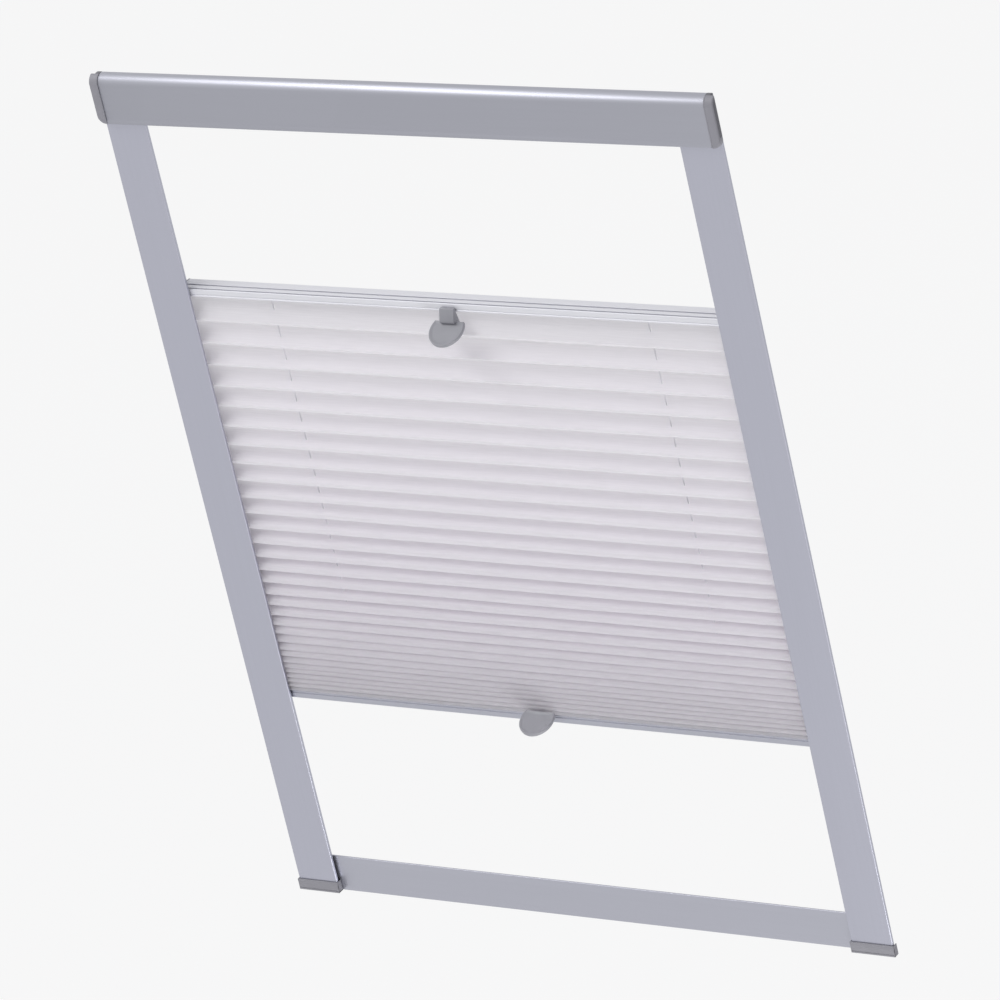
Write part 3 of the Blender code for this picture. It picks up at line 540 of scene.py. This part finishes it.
def makeHeadCaps():
    # Each cap is a dark insert with its seal, and a grey front with a fine rim beside the cover and three
    # plates inside it. The insert's darker plastic is partly its own colour and partly painted shade on the
    # cap's outer side. The front is rounded at stations R (1 - sin a) before its outer side.
    h = headBox
    roundOver = h["capOutside"] - h["capCorner"] * (1 - np.sin(np.radians([8, 17, 26, 35, 44, 52])))
    insertBack, insertEnd = h["capBody"]
    for side, hand, label in sides:
        def across(a, b, along, side=side):
            return side * along, a, b

        insert = sweepSolid(f"headCapInsert{label}", *capSection(0.05, insertBack), h["capInside"], insertEnd,
                            capInsertPlasticAndShade, across, 0.3, 3)
        seal = sweepSolid("seal", *sealSection(), h["sealFrom"], h["capOutside"], capInsertPlasticAndShade, across,
                          0.2, 2)
        bakedBoolean(insert, seal, "UNION")
        insert.data.set_sharp_from_angle(angle=math.radians(35))
        finished(insert, fixedBody, "grey_plastic", f"head_cap_{hand}")
        cap = sweepSolid(f"headCap{label}", *capSection(h["capProud"], h["capBack"]), h["capFrom"],
                         h["capOutside"] - h["sealSunk"], capPlastic, across, 1.1, 5, 30.0, roundOver,
                         liftedBottom)
        rim = sweepSolid("rim", *capSection(h["capProud"] + 0.15, h["capBack"] - 0.2), h["rimFrom"],
                         h["rimTo"], capPlastic, across, 0.4, 4)
        plates = [roundedBlock("plate", sorted((side * x[0], side * x[1])), y, z, capPlastic, 0.3)
                  for x, y, z in (((288.2, 298.0), (-21.4, -19.8), (-13.0, 14.0)),
                                  ((286.9, 288.4), (-21.4, -8.5), (-13.0, 14.0)),
                                  ((286.9, 294.0), (-28.2, -23.6), (-12.0, 18.5)))]
        for part in (rim, *plates):
            bakedBoolean(cap, part, "UNION")
        cap.data.set_sharp_from_angle(angle=math.radians(35))
        finished(cap, fixedBody, "grey_plastic", f"head_cap_{hand}")


makeHeadCover()
makeHeadCaps()
dressNode("head_rail", satinAcross)
print("head box ready")


# Side rails and bottom bar

sideRail = {
    "inner": 260.0, "outer": 300.0,  # X of the flange's two edges
    "front": -24.0, "lip": 2.6, "flangeWall": 1.5, "wall": 1.3,
    "bodyIn": 276.0, "bodyOut": 285.2, "bodyBack": -1.2,
    "slot": (-13.3, -7.7),
    "bottom": -761.7, "top": -14.5,
    "holes": (-80.0, -390.0, -700.0), "holeRadius": 2.2,
}


def makeSideRails():
    # A section in X and Y carried along Z: a flat flange with two lips, and behind it a channel that is open
    # inwards through a slot; three round holes go through its outer wall.
    r = sideRail
    front, lipBack, flangeBack = r["front"], r["front"] + r["lip"], r["front"] + r["flangeWall"]
    bodyIn, bodyOut, bodyBack, wall = r["bodyIn"], r["bodyOut"], r["bodyBack"], r["wall"]
    slotFront, slotBack = r["slot"]
    corners = [
        (r["inner"], front), (r["outer"], front), (r["outer"], lipBack), (r["outer"] - wall, lipBack),
        (r["outer"] - wall, flangeBack), (bodyOut, flangeBack), (bodyOut, bodyBack), (bodyIn, bodyBack),
        (bodyIn, slotBack), (bodyIn + wall, slotBack), (bodyIn + wall, bodyBack - wall),
        (bodyOut - wall, bodyBack - wall), (bodyOut - wall, flangeBack), (bodyIn + wall, flangeBack),
        (bodyIn + wall, slotFront), (bodyIn, slotFront), (bodyIn, flangeBack),
        (r["inner"] + wall, flangeBack), (r["inner"] + wall, lipBack), (r["inner"], lipBack),
    ]
    radii = np.full(len(corners), 0.25)
    radii[:2] = 0.9
    for side, hand, label in sides:
        mirrored = np.array(corners) * (side, 1)
        rail = sweepSolid(f"sideRail{label}", mirrored, radii, r["bottom"], r["top"], satinUpright, alongZ,
                          0.1, 1)
        for level in r["holes"]:
            drill = latheSolid("drill", [(0, 0), (r["holeRadius"], 0), (r["holeRadius"], 4), (0, 4)],
                               (side * (bodyOut - 3), -10.5, level), (side, 0, 0), satinUpright)
            bakedBoolean(rail, drill, "DIFFERENCE")
        finished(rail, fixedBody, "anodised_aluminium", f"side_rail_{hand}")


bottomBar = {"front": -19.0, "back": -4.0, "bottom": -763.4, "top": -728.9, "roof": -741.5, "wall": 1.4,
             "half": 275.7, "holeX": 262.0, "holeZ": -751.0, "holeRadius": 2.2}


def makeBottomBar():
    # A section in Y and Z carried along X: an upright front and, behind its foot, a channel open below; a
    # hole goes through its back wall near each end.
    b = bottomBar
    front, back, bottom, top, roof, wall = b["front"], b["back"], b["bottom"], b["top"], b["roof"], b["wall"]
    corners = [(front, bottom), (front, top), (front + 2.0, top), (front + 2.0, top - 2.0),
               (front + wall, top - 2.6), (front + wall, roof), (back, roof), (back, bottom),
               (back - 4.0, bottom), (back - 4.0, bottom + wall), (back - wall, bottom + wall),
               (back - wall, roof - wall), (front + wall, roof - wall), (front + wall, bottom)]
    radii = np.full(len(corners), 0.25)
    radii[:3] = 0.5
    bar = sweepSolid("bottomBar", corners, radii, -b["half"], b["half"], satinAcross, alongX, 0.1, 1)
    for side in (-1, 1):
        drill = latheSolid("drill", [(0, 0), (b["holeRadius"], 0), (b["holeRadius"], 5), (0, 5)],
                           (side * b["holeX"], back - 3, b["holeZ"]), (0, 1, 0), satinAcross)
        bakedBoolean(bar, drill, "DIFFERENCE")
    finished(bar, fixedBody, "anodised_aluminium", "bottom_bar")


footCap = {"inner": 259.0, "outer": 301.0, "wall": 0.7, "front": -25.6, "frontBack": -24.3, "sideBack": -19.4,
           "bottom": -763.4, "floorTop": -762.0, "top": -753.0,
           "plug": ((276.0, 285.2), (-20.5, -4.5))}  # X and Y of the plate under the rail's channel


def makeFootCaps():
    # A front whose section slopes in above and below, with a floor, two sides and a plate under the channel.
    f = footCap
    for side, hand, label in sides:
        def block(x, y, z):
            return roundedBlock("part", sorted((side * x[0], side * x[1])), y, z, footPlastic, 0.3)

        full, floor = (f["bottom"], f["top"]), (f["bottom"], f["floorTop"])
        front, top, bottom = f["front"], f["top"], f["bottom"]
        section = [(f["frontBack"], bottom), (f["frontBack"], top), (front + 0.6, top), (front, top - 3.6),
                   (front + 0.15, bottom + 3.0), (front + 0.9, bottom)]
        cap = sweepSolid(f"footCap{label}", np.array(section), [0.2, 0.2, 0.35, 1.4, 2.0, 0.5],
                         *sorted((side * f["inner"], side * f["outer"])), footPlastic, alongX, 0.3, 3)
        for part in (block((f["inner"], f["outer"]), (f["front"], f["sideBack"]), floor),
                     block((f["inner"], f["inner"] + f["wall"]), (f["front"], f["sideBack"]), full),
                     block((f["outer"] - f["wall"], f["outer"]), (f["front"], f["sideBack"]), full),
                     block(*f["plug"], floor)):
            bakedBoolean(cap, part, "UNION")
        cap.data.set_sharp_from_angle(angle=math.radians(35))
        finished(cap, fixedBody, "grey_plastic", f"foot_cap_{hand}")


makeSideRails()
makeBottomBar()
makeFootCaps()
print("side rails and bottom bar ready")


# Moving rails

movingRail = {
    "middle": -10.5,  # Y of the rails' middle plane, where the cords run
    "depth": 19.2, "height": 7.1, "wall": 1.1, "half": 272.0,
    "mouth": 6.0, "lip": 1.0, "roof": 5.3,
    "grooves": ((-8.4, -6.6), (-1.7, 0.3)), "grooveDepth": 1.2,
    "undercut": 1.4, "ledge": 0.4,
    "bead": 0.95, "hookLevel": 2.2,
    "clothSide": {"upper": -180.9, "lower": -561.2},
    "way": {"upper": 1, "lower": -1},
}


def movingSection():
    # Corners and radii of a moving rail's section: offset from its middle plane, and height above the side
    # that faces the cloth. Its front edge beside the cloth is a bead, half a circle; above that runs the
    # narrow groove for the handle.
    m = movingRail
    half, high, wall, bead, line = m["depth"] / 2, m["height"], m["wall"], m["bead"], m["hookLevel"]
    turn = np.radians(np.linspace(270, 90, 13))
    beadPoints = np.stack([bead - half + bead * np.cos(turn), bead + bead * np.sin(turn)], 1)
    corners = [(-m["mouth"], 0), *beadPoints.tolist(), (-half + 0.6, line - 0.28), (-half + 0.6, line + 0.28),
               (-half, line + 0.38), (-half, high)]
    radii = [0.2] + [0] * len(beadPoints) + [0.05, 0.05, 0.1, 0.6]
    floor, ledge = high - m["grooveDepth"], high - m["ledge"]
    for start, end in m["grooves"]:
        back = end + m["undercut"]
        corners += [(start, high), (start, floor), (back, floor), (back, ledge), (end, ledge), (end, high)]
        radii += [0.15, 0.15, 0.15, 0.15, 0.1, 0.12]
    corners += [(half, high), (half, 0), (m["mouth"], 0), (m["mouth"], m["lip"]), (half - wall, m["lip"]),
                (half - wall, m["roof"]), (-half + wall, m["roof"]), (-half + wall, m["lip"]),
                (-m["mouth"], m["lip"])]
    radii += [0.6, 0.3, 0.2] + [0.15] * 6
    return np.array(corners), radii


def makeMovingRails():
    # Each rail is its section carried along X, and the lower one's section is turned over. Both are the same
    # aluminium; the upper one's paler finish is painted light, a lit copy of the lower one's aluminium.
    m = movingRail
    for which, body, finish in (("upper", upperBody, paintedLightAcross), ("lower", lowerBody, satinAcross)):
        level, way = m["clothSide"][which], m["way"][which]
        corners, radii = movingSection()
        corners = corners * (1, way) + (m["middle"], level)
        # The upper rail's paler slot is painted light on the same aluminium as the lower rail.
        slotName = "pale_aluminium" if which == "upper" else "anodised_aluminium"
        rail = sweepSolid(f"{which}Rail", corners, radii, -m["half"], m["half"], finish, alongX, 0.08, 1)
        finished(rail, body, slotName, f"{which}_rail")
        for node in (f"{which}_cloth_strip", f"{which}_slider_left", f"{which}_slider_right"):
            dressNode(node, innerPlastic)


# Handles

handle = {
    "face": -20.4,  # Y of a stem's back, just clear of the rail's front
    "stemHalf": 7.0, "topThick": 3.0, "lowThick": 7.5, "under": 2.6, "toe": 10.4, "lowerStemThick": 5.0,
    "wide": 16.0, "tall": 16.6, "middle": 8.0, "thick": 3.2, "rim": 0.7, "gather": 10.5,
    "x": {"upper": -0.6, "lower": -1.8},
    "root": {"upper": -8.6, "lower": 2.8},  # above the rail's cloth side
    "slope": {"upper": 30.0, "lower": 24.0},
}


def tabSurface(name, x, root, slope, finish):
    # Finger tab: an oval cut at its root, (wide cos a, middle + tall sin a), shrunk towards its middle in
    # rings: a slightly sunk top, a low bead, a quarter circle over the rim, an upright side and a quarter
    # circle below; then tilted forwards and down.
    h = handle
    start = math.asin(h["middle"] / h["tall"])
    angle = np.linspace(-start, math.pi + start, 73)
    outline = np.stack([h["wide"] * np.cos(angle), h["middle"] + h["tall"] * np.sin(angle)], 1)
    outline = np.concatenate([outline, np.linspace(outline[-1], outline[0], 14)[1:-1]])
    half, rim = h["thick"] / 2, h["rim"]
    turn = np.radians(np.linspace(90, 0, 7))
    over = np.stack([rim * (1 - np.cos(turn)), half - rim + rim * np.sin(turn)], 1)
    under = over[::-1] * (1, -1)
    gather = h["gather"]
    top = [(gather, half - 0.5), (4.0, half - 0.5), (2.6, half - 0.46), (1.9, half - 0.2), (1.4, half - 0.04)]
    rings = np.concatenate([top, over, under, [(4.0, -half), (gather, -half)]])
    centre = np.array([0.0, gather])
    towards = centre - outline
    reach = np.linalg.norm(towards, axis=1, keepdims=True)
    flat = outline[None] + towards / reach * np.minimum(rings[:, 0, None, None], reach * 0.985)
    lean = math.radians(slope)
    forward, up = flat[..., 1], np.broadcast_to(rings[:, 1, None], flat.shape[:2])
    y = h["face"] - 1.6 - forward * math.cos(lean) - up * math.sin(lean)
    z = root - forward * math.sin(lean) + up * math.cos(lean)
    points = np.stack([x + flat[..., 0], y, z], -1) * mm
    faces = gridFaces(len(rings), len(outline), True).tolist()
    last = (len(rings) - 1) * len(outline)
    faces += [list(range(len(outline)))[::-1], list(range(last, last + len(outline)))]
    return meshObject(name, points, faces, finish, 50.0)


def stemCorners(which, level):
    # Corners and radii of a stem's side view. The upper one grows thicker downwards and puts a toe under
    # its rail; the lower one is a short block behind its tab.
    h, line = handle, movingRail["hookLevel"]
    face = h["face"]
    if which == "upper":
        high, low = level + line + 2.0, level - 8.3
        toe, toeLow = face + h["under"], level - h["toe"]
        corners = [(face, high), (face - h["topThick"], high), (face - h["lowThick"], low),
                   (face - 1.2, low), (face + 0.6, toeLow), (toe, toeLow), (face, level - 0.3)]
        return corners, [0.4, 0.8, 3.4, 0.4, 0.4, 0.5, 0.3]
    high, low, front = level - 0.4, level - line - 2.0, face - h["lowerStemThick"]
    return [(face, high), (front, high), (front, low), (face, low)], [0.4, 1.0, 1.0, 0.4]


def makeHandles():
    # Each handle is a stem carried along X, with a ledge that hooks into its rail's groove and a tab.
    h = handle
    for which, body in (("upper", upperBody), ("lower", lowerBody)):
        level, x, half = movingRail["clothSide"][which], h["x"][which], h["stemHalf"]
        hook = level + movingRail["way"][which] * movingRail["hookLevel"]
        corners, radii = stemCorners(which, level)
        stem = sweepSolid(f"{which}Handle", corners, radii, x - half, x + half, tabPlastic, alongX, 0.4, 3)
        ledge = roundedBlock("ledge", (x - half + 0.6, x + half - 0.6), (h["face"] - 0.5, h["face"] + 0.6),
                             (hook - 0.15, hook + 0.15), tabPlastic, 0.1)
        bakedBoolean(stem, ledge, "UNION")
        tab = tabSurface("tab", x, level + h["root"][which], h["slope"][which], tabPlastic)
        bakedBoolean(stem, tab, "UNION")
        stem.data.set_sharp_from_angle(angle=math.radians(40))
        finished(stem, body, "grey_plastic", f"{which}_handle")


makeMovingRails()
makeHandles()
print("moving rails and handles ready")


# Pleated cloth

cloth = {
    "pleats": 31, "panel": 20.0, "half": 275.2,
    "firstPitch": 21.9, "pitchStep": 0.656, "equalOnes": 4,
    "top": -181.2, "bottom": -560.9,
    "holeX": 185.0, "holeRadius": 1.15,
    "foldReach": 0.5, "bow": 0.35, "wander": 0.3,
    # how far a panel swells, against its drop between folds
    "bulge": ((2.3, 4.0, 6.0, 8.5, 11.0), (1.93, 2.5, 2.2, 1.1, 0.2)), "bulgeSkew": 0.58,
}


def pleatFolds():
    # Y and Z of every fold, from the top one behind, by turns in front and behind. The pitch falls by one
    # step a pleat and the last few are equal; a panel of fixed length p leaves a depth of
    # sqrt(p^2 - (pitch/2)^2) between folds. The first panel spans a whole pitch and is longer.
    c = cloth
    falling = c["firstPitch"] - c["pitchStep"] * np.arange(c["pleats"] - c["equalOnes"])
    rest = (c["top"] - c["bottom"] - falling.sum()) / c["equalOnes"]
    pitch = np.concatenate([falling, np.full(c["equalOnes"], rest)])
    reach = np.sqrt(c["panel"] ** 2 - (pitch / 2) ** 2) / 2
    level = c["top"] - np.cumsum(pitch)
    middle = movingRail["middle"]
    front = np.stack([middle - np.append(reach[1:], reach[-1]), level], 1)
    back = np.stack([middle + reach, np.append(c["top"], level[:-1] - pitch[1:] / 2)], 1)
    return np.stack([back, front], 1).reshape(-1, 2)


def clothColumns():
    # X of the grid's columns: even steps, and three close ones at each column of cord holes.
    c = cloth
    even = np.linspace(-c["half"], c["half"], 61)
    even = even[np.min(np.abs(np.abs(even)[:, None] - c["holeX"]), axis=1) > 3.5]
    near = np.array([-2.6, -1, 0, 1, 2.6]) * c["holeRadius"]
    return np.sort(np.concatenate([even, c["holeX"] + near, -c["holeX"] + near]))


def makeClothHalf(name, folds, first, last):
    # One stretch of the cloth between two folds. A point is fold + share (next fold - fold), rounded near
    # each fold by a parabola and moved square to its panel by bow sin(pi share) and by a swelling beside
    # each front fold, bulge sin(pi u^skew) with u = 1 - |2 share - 1|, which changes side halfway; it also
    # wanders a little along X. A cord hole is longer in a steeper panel, so that it clears the cord.
    c = cloth
    start, end = folds[first:last], folds[first + 1:last + 1]
    run = end - start
    length = np.linalg.norm(run, axis=1)
    hole = c["holeRadius"] / np.abs(run[:, 0])
    edge = c["foldReach"] / length
    even = np.array([0.08, 0.14, 0.22, 0.33])
    share = np.concatenate([edge[:, None], np.tile(even, (len(run), 1)), np.stack([0.5 - hole, 0 * hole + 0.5,
                            0.5 + hole], 1), np.tile(1 - even[::-1], (len(run), 1)), 1 - edge[:, None]], 1)
    sign = np.where(np.arange(first, last) % 2 == 1, 1.0, -1.0)
    square = np.stack([run[:, 1], -run[:, 0]], 1) * (sign / length)[:, None]
    bulge = np.interp(np.abs(run[:, 1]), *c["bulge"])[:, None]
    within = 1 - np.abs(2 * share - 1)
    swell = (c["bow"] * np.sin(np.pi * share)
             + bulge * np.sin(np.pi * within ** c["bulgeSkew"]) * np.sign(0.5 - share))
    panels = start[:, None] + run[:, None] * share[..., None] + square[:, None] * swell[..., None]
    corner = folds[first + 1:last]
    come, leave = panels[:-1, -1], panels[1:, 0]
    t = np.array([0.25, 0.5, 0.75])[None, :, None]
    bends = (1 - t) ** 2 * come[:, None] + 2 * t * (1 - t) * corner[:, None] + t**2 * leave[:, None]
    rows = [np.concatenate([panels[i], bends[i]]) for i in range(len(bends))] + [panels[-1]]
    section = np.concatenate([folds[first][None], *rows, folds[last][None]])
    perPanel = share.shape[1] + 3
    middleRows = 1 + np.arange(last - first) * perPanel + 6
    along = np.concatenate([[0], np.cumsum(np.linalg.norm(np.diff(section, axis=0), axis=1))])
    columns = clothColumns()
    x = np.broadcast_to(columns, (len(section), len(columns))).copy()
    y = np.broadcast_to(section[:, :1], x.shape).copy()
    z = np.broadcast_to(section[:, 1:], x.shape).copy()
    shorter = 1 - math.sqrt(0.5)  # takes a hole's square corners back to an eight-sided outline
    for sideX in (-1, 1):
        centre = int(np.argmin(np.abs(columns - sideX * c["holeX"])))
        for rowShift in (-1, 1):
            for columnShift in (-1, 1):
                row, column = middleRows + rowShift, centre + columnShift
                x[row, column] -= columnShift * shorter * c["holeRadius"]
                y[row, column] -= rowShift * shorter * hole * run[:, 0]
                z[row, column] -= rowShift * shorter * hole * run[:, 1]
    foldNumber = first + along / c["panel"]
    calm = np.clip(np.minimum(along, along[-1] - along) / 10.0, 0, 1)[:, None]
    wave = np.sin(x * 0.011 + foldNumber[:, None] * 1.7) + 0.6 * np.sin(x * 0.027 + foldNumber[:, None] * 0.9)
    tightness = np.clip(np.abs(np.gradient(section[:, 1])) / 1.0, 0.15, 1.0)[:, None]
    z += c["wander"] * wave * calm * tightness
    points = np.stack([x, y, z], -1) * mm
    quads = gridFaces(len(section), len(columns), False).reshape(len(section) - 1, len(columns) - 1, 4)
    keep = np.ones(quads.shape[:2], bool)
    for sideX in (-1, 1):
        centre = int(np.argmin(np.abs(columns - sideX * c["holeX"])))
        for rowShift in (-1, 0):
            keep[middleRows + rowShift, centre - 1:centre + 1] = False
    used, faces = np.unique(quads[keep], return_inverse=True)
    mesh = bpy.data.meshes.new(name)
    mesh.from_pydata(points.reshape(-1, 3)[used], [], faces.reshape(-1, 4).tolist())
    mesh.shade_smooth()
    chart = np.stack([x, np.broadcast_to(along[:, None], x.shape)], -1).reshape(-1, 2)[used] * mm
    layer = mesh.uv_layers.new(name="cloth")
    corners = np.empty(len(mesh.loops), np.int32)
    mesh.loops.foreach_get("vertex_index", corners)
    layer.data.foreach_set("uv", chart[corners].astype(np.float32).ravel())
    mesh.materials.append(clothFinish)
    piece = bpy.data.objects.new(name, mesh)
    bpy.context.scene.collection.objects.link(piece)
    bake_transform(piece)
    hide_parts("pleated_cloth")
    print(name, "flat length", round(float(length.sum()), 1), "mm")


def makeCloth():
    # Two stretches that meet at the back fold nearest the middle of the cloth's height.
    folds = pleatFolds()
    middleLevel = (cloth["top"] + cloth["bottom"]) / 2
    split = 2 * int(np.argmin(np.abs(folds[0::2, 1] - middleLevel)))
    makeClothHalf("clothUpper", folds, 0, split)
    makeClothHalf("clothLower", folds, split, len(folds) - 1)
    return folds[split, 1]


splitLevel = makeCloth()
print("cloth ready, split at", round(float(splitLevel), 1), "mm")


# Cords, springs and small metal pieces

cordRun = {
    "diameter": 1.2, "sideX": 280.6, "guideX": 185.0, "lane": 2.4, "inside": 3.95,
    "anchorFoot": 7.9, "springTop": -727.2,
}


def easedRoute(corners, radius=1.6, steps=6):
    # Route with its corners eased: each becomes a parabola between points a radius away on its two runs.
    route = np.asarray(corners, float)
    middle, before, after = route[1:-1], route[:-2] - route[1:-1], route[2:] - route[1:-1]
    lengthBefore = np.linalg.norm(before, axis=1, keepdims=True)
    lengthAfter = np.linalg.norm(after, axis=1, keepdims=True)
    start = middle + before / lengthBefore * np.minimum(radius, lengthBefore * 0.49)
    end = middle + after / lengthAfter * np.minimum(radius, lengthAfter * 0.49)
    t = np.linspace(0, 1, steps)[None, :, None]
    bends = (1 - t) ** 2 * start[:, None] + 2 * t * (1 - t) * middle[:, None] + t**2 * end[:, None]
    return np.concatenate([route[:1], bends.reshape(-1, 3), route[-1:]])


def makeInnerCords():
    # From a slider along the rail's inside, over to the guide on its other side and down to the cloth.
    r, m = cordRun, movingRail
    for which, body in (("upper", upperBody), ("lower", lowerBody)):
        level, way = m["clothSide"][which], m["way"][which]
        for side, hand, label in sides:
            inside, far, middle = level + way * r["inside"], -side * r["guideX"], m["middle"]
            lane = middle + side * r["lane"]
            corners = [(side * r["sideX"], middle, level + way * 10.9), (side * r["sideX"], middle, inside),
                       (side * 256.0, middle, inside), (side * 246.0, lane, inside),
                       (far + side * 12.0, lane, inside), (far + side * 3.5, middle, inside),
                       (far, middle, inside), (far, middle, level + way * 0.1)]
            cord = tubeSolid(f"cord{which.title()}{label}", easedRoute(corners), r["diameter"] / 2,
                             cordFinish)
            finished(cord, body, "cord", f"cord_{which}_{hand}")


def straightCord(name, x, high, low, railBody, railLevel, fixedLevel, *nodes):
    # An upright stretch of cord: a tube along the rails' middle plane from a high level down to a low one, in
    # place of its CAD nodes.
    # Its rail body and its rail and fixed levels are not used.
    middle = movingRail["middle"]
    levels = np.linspace(high, low, 40)
    path = np.stack([np.full(40, x), np.full(40, middle), levels], 1)
    cord = tubeSolid(name, path, cordRun["diameter"] / 2, cordFinish)
    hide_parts(*nodes)
    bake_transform(cord)


def makeStraightCords():
    # The upright stretches of each cord: above the upper rail, below the lower one, and two in the cloth.
    r, levels = cordRun, movingRail["clothSide"]
    sliderTop, sliderBottom = levels["upper"] + 11.3, levels["lower"] - 11.3
    for side, hand, label in sides:
        sideX, guideX = side * r["sideX"], side * r["guideX"]
        straightCord(f"cordTop{label}", sideX, r["anchorFoot"], sliderTop, upperBody, sliderTop, -30.0,
                     f"cord_top_{hand}")
        straightCord(f"cordBottom{label}", sideX, sliderBottom, r["springTop"], lowerBody, sliderBottom,
                     r["springTop"] + 2, f"cord_bottom_{hand}")
        straightCord(f"cordClothUpper{label}", guideX, levels["upper"] - 0.2, splitLevel, upperBody,
                     cloth["top"], splitLevel, f"cord_cloth_{hand}")
        straightCord(f"cordClothLower{label}", guideX, splitLevel, levels["lower"] + 0.2, lowerBody,
                     cloth["bottom"], splitLevel, f"cord_cloth_{hand}")


coilSpring = {"wire": 0.7, "radius": 1.9, "turns": 9, "pitch": 1.75, "low": -751.7, "high": -727.5}


def makeSprings():
    # Each spring is one wire: straight on its axis, a helix of (R cos a, R sin a, pitch a / 2 pi), straight.
    s = coilSpring
    height = s["turns"] * s["pitch"]
    start = (s["low"] + s["high"] - height) / 2
    angle = np.linspace(0, 2 * np.pi * s["turns"], s["turns"] * 24 + 1)
    for side, hand, label in sides:
        x, middle = side * cordRun["sideX"], movingRail["middle"]
        grow = np.clip(np.minimum(angle, angle[-1] - angle) / 1.2, 0, 1)
        helix = np.stack([x + s["radius"] * grow * np.cos(angle), middle + s["radius"] * grow * np.sin(angle),
                          start + height * angle / angle[-1]], 1)
        path = np.concatenate([[(x, middle, s["low"])], helix, [(x, middle, s["high"])]])
        spring = tubeSolid(f"cordSpring{label}", path, s["wire"] / 2, zincFinish, 10, (0.13, 0.21, 0.97))
        finished(spring, fixedBody, "zinc_steel", f"cord_spring_{hand}")


def screwProfile(length, radius=1.9, head=3.4):
    # Pan-head screw from its tip to the middle of its head, with a V thread of 0.8 mm pitch on the shank.
    turns = int((length - 2.6) / 0.8)
    thread = [(radius - (0.35 if i % 2 else 0.0), length - 2.0 - 0.4 * i) for i in range(2 * turns)]
    dome = np.radians(np.linspace(0, 70, 8))
    top = [(head * math.cos(a), -0.6 - 1.4 * math.sin(a)) for a in dome]
    return [(0, length), (radius * 0.5, length), *thread, (radius, 0.0), (head - 0.2, 0.0), (head, -0.2),
            *top, (0.0, -2.0)]


def makeSmallMetal():
    # Turned pieces: cord anchors, screws with a crossed recess, and the moving rails' cord guides.
    middle = movingRail["middle"]
    for side, hand, label in sides:
        anchor = [(0, 6.0), (2.0, 6.0), (2.5, 5.8), (2.8, 5.3), (2.8, 3.6), (2.5, 3.3), (2.5, 2.7),
                  (2.8, 2.4), (2.8, 0.2), (2.6, 0.0), (0.95, 0.0), (0.95, 4.0), (0, 4.0)]
        piece = latheSolid(f"cordAnchor{label}", anchor, (side * cordRun["sideX"], middle, 4.3), (0, 0, 1),
                           zincFinish)
        finished(piece, fixedBody, "zinc_steel", f"cord_anchor_{hand}")
        for name, node, centre, direction, length in (
                ("headScrew", "head_screw", (side * 256.0, middle, -14.3), (0, 0, 1), 13.0),
                ("barScrew", "bar_screw", (side * bottomBar["holeX"], -3.7, bottomBar["holeZ"]),
                 (0, -1, 0), 8.0)):
            screw = latheSolid(f"{name}{label}", screwProfile(length), centre, direction, zincFinish)
            way = Vector(direction)
            for turn in (45.0, 135.0):
                cross = Matrix.Rotation(math.radians(turn), 3, way) @ way.orthogonal().normalized()
                start = Vector(centre) - way * 2.3 - cross * 1.7
                recess = latheSolid("recess", [(0, 0), (0.45, 0), (0.45, 3.4), (0, 3.4)], start, cross,
                                    zincFinish, 4)
                bakedBoolean(screw, recess, "DIFFERENCE")
            finished(screw, fixedBody, "zinc_steel", f"{node}_{hand}")
        for which, body in (("upper", upperBody), ("lower", lowerBody)):
            level, way = movingRail["clothSide"][which], movingRail["way"][which]
            guide = [(1.3, 0.4), (1.3, 2.6), (1.5, 2.9), (1.8, 3.0), (3.0, 3.0), (3.2, 2.8), (3.2, 2.4),
                     (2.1, 2.4), (2.1, 0.3), (2.0, 0.2), (1.5, 0.2)]
            bush = latheSolid(f"{which}CordGuide{label}", guide, (side * cordRun["guideX"], middle, level),
                              (0, 0, way), capPlastic)
            finished(bush, body, "grey_plastic", f"{which}_cord_guide_{hand}")


makeInnerCords()
makeStraightCords()
makeSprings()
makeSmallMetal()
for side, hand, label in sides:
    dressNode(f"top_corner_{hand}", innerPlastic)
    dressNode(f"bottom_corner_{hand}", innerPlastic)
print("cords, springs and screws ready")
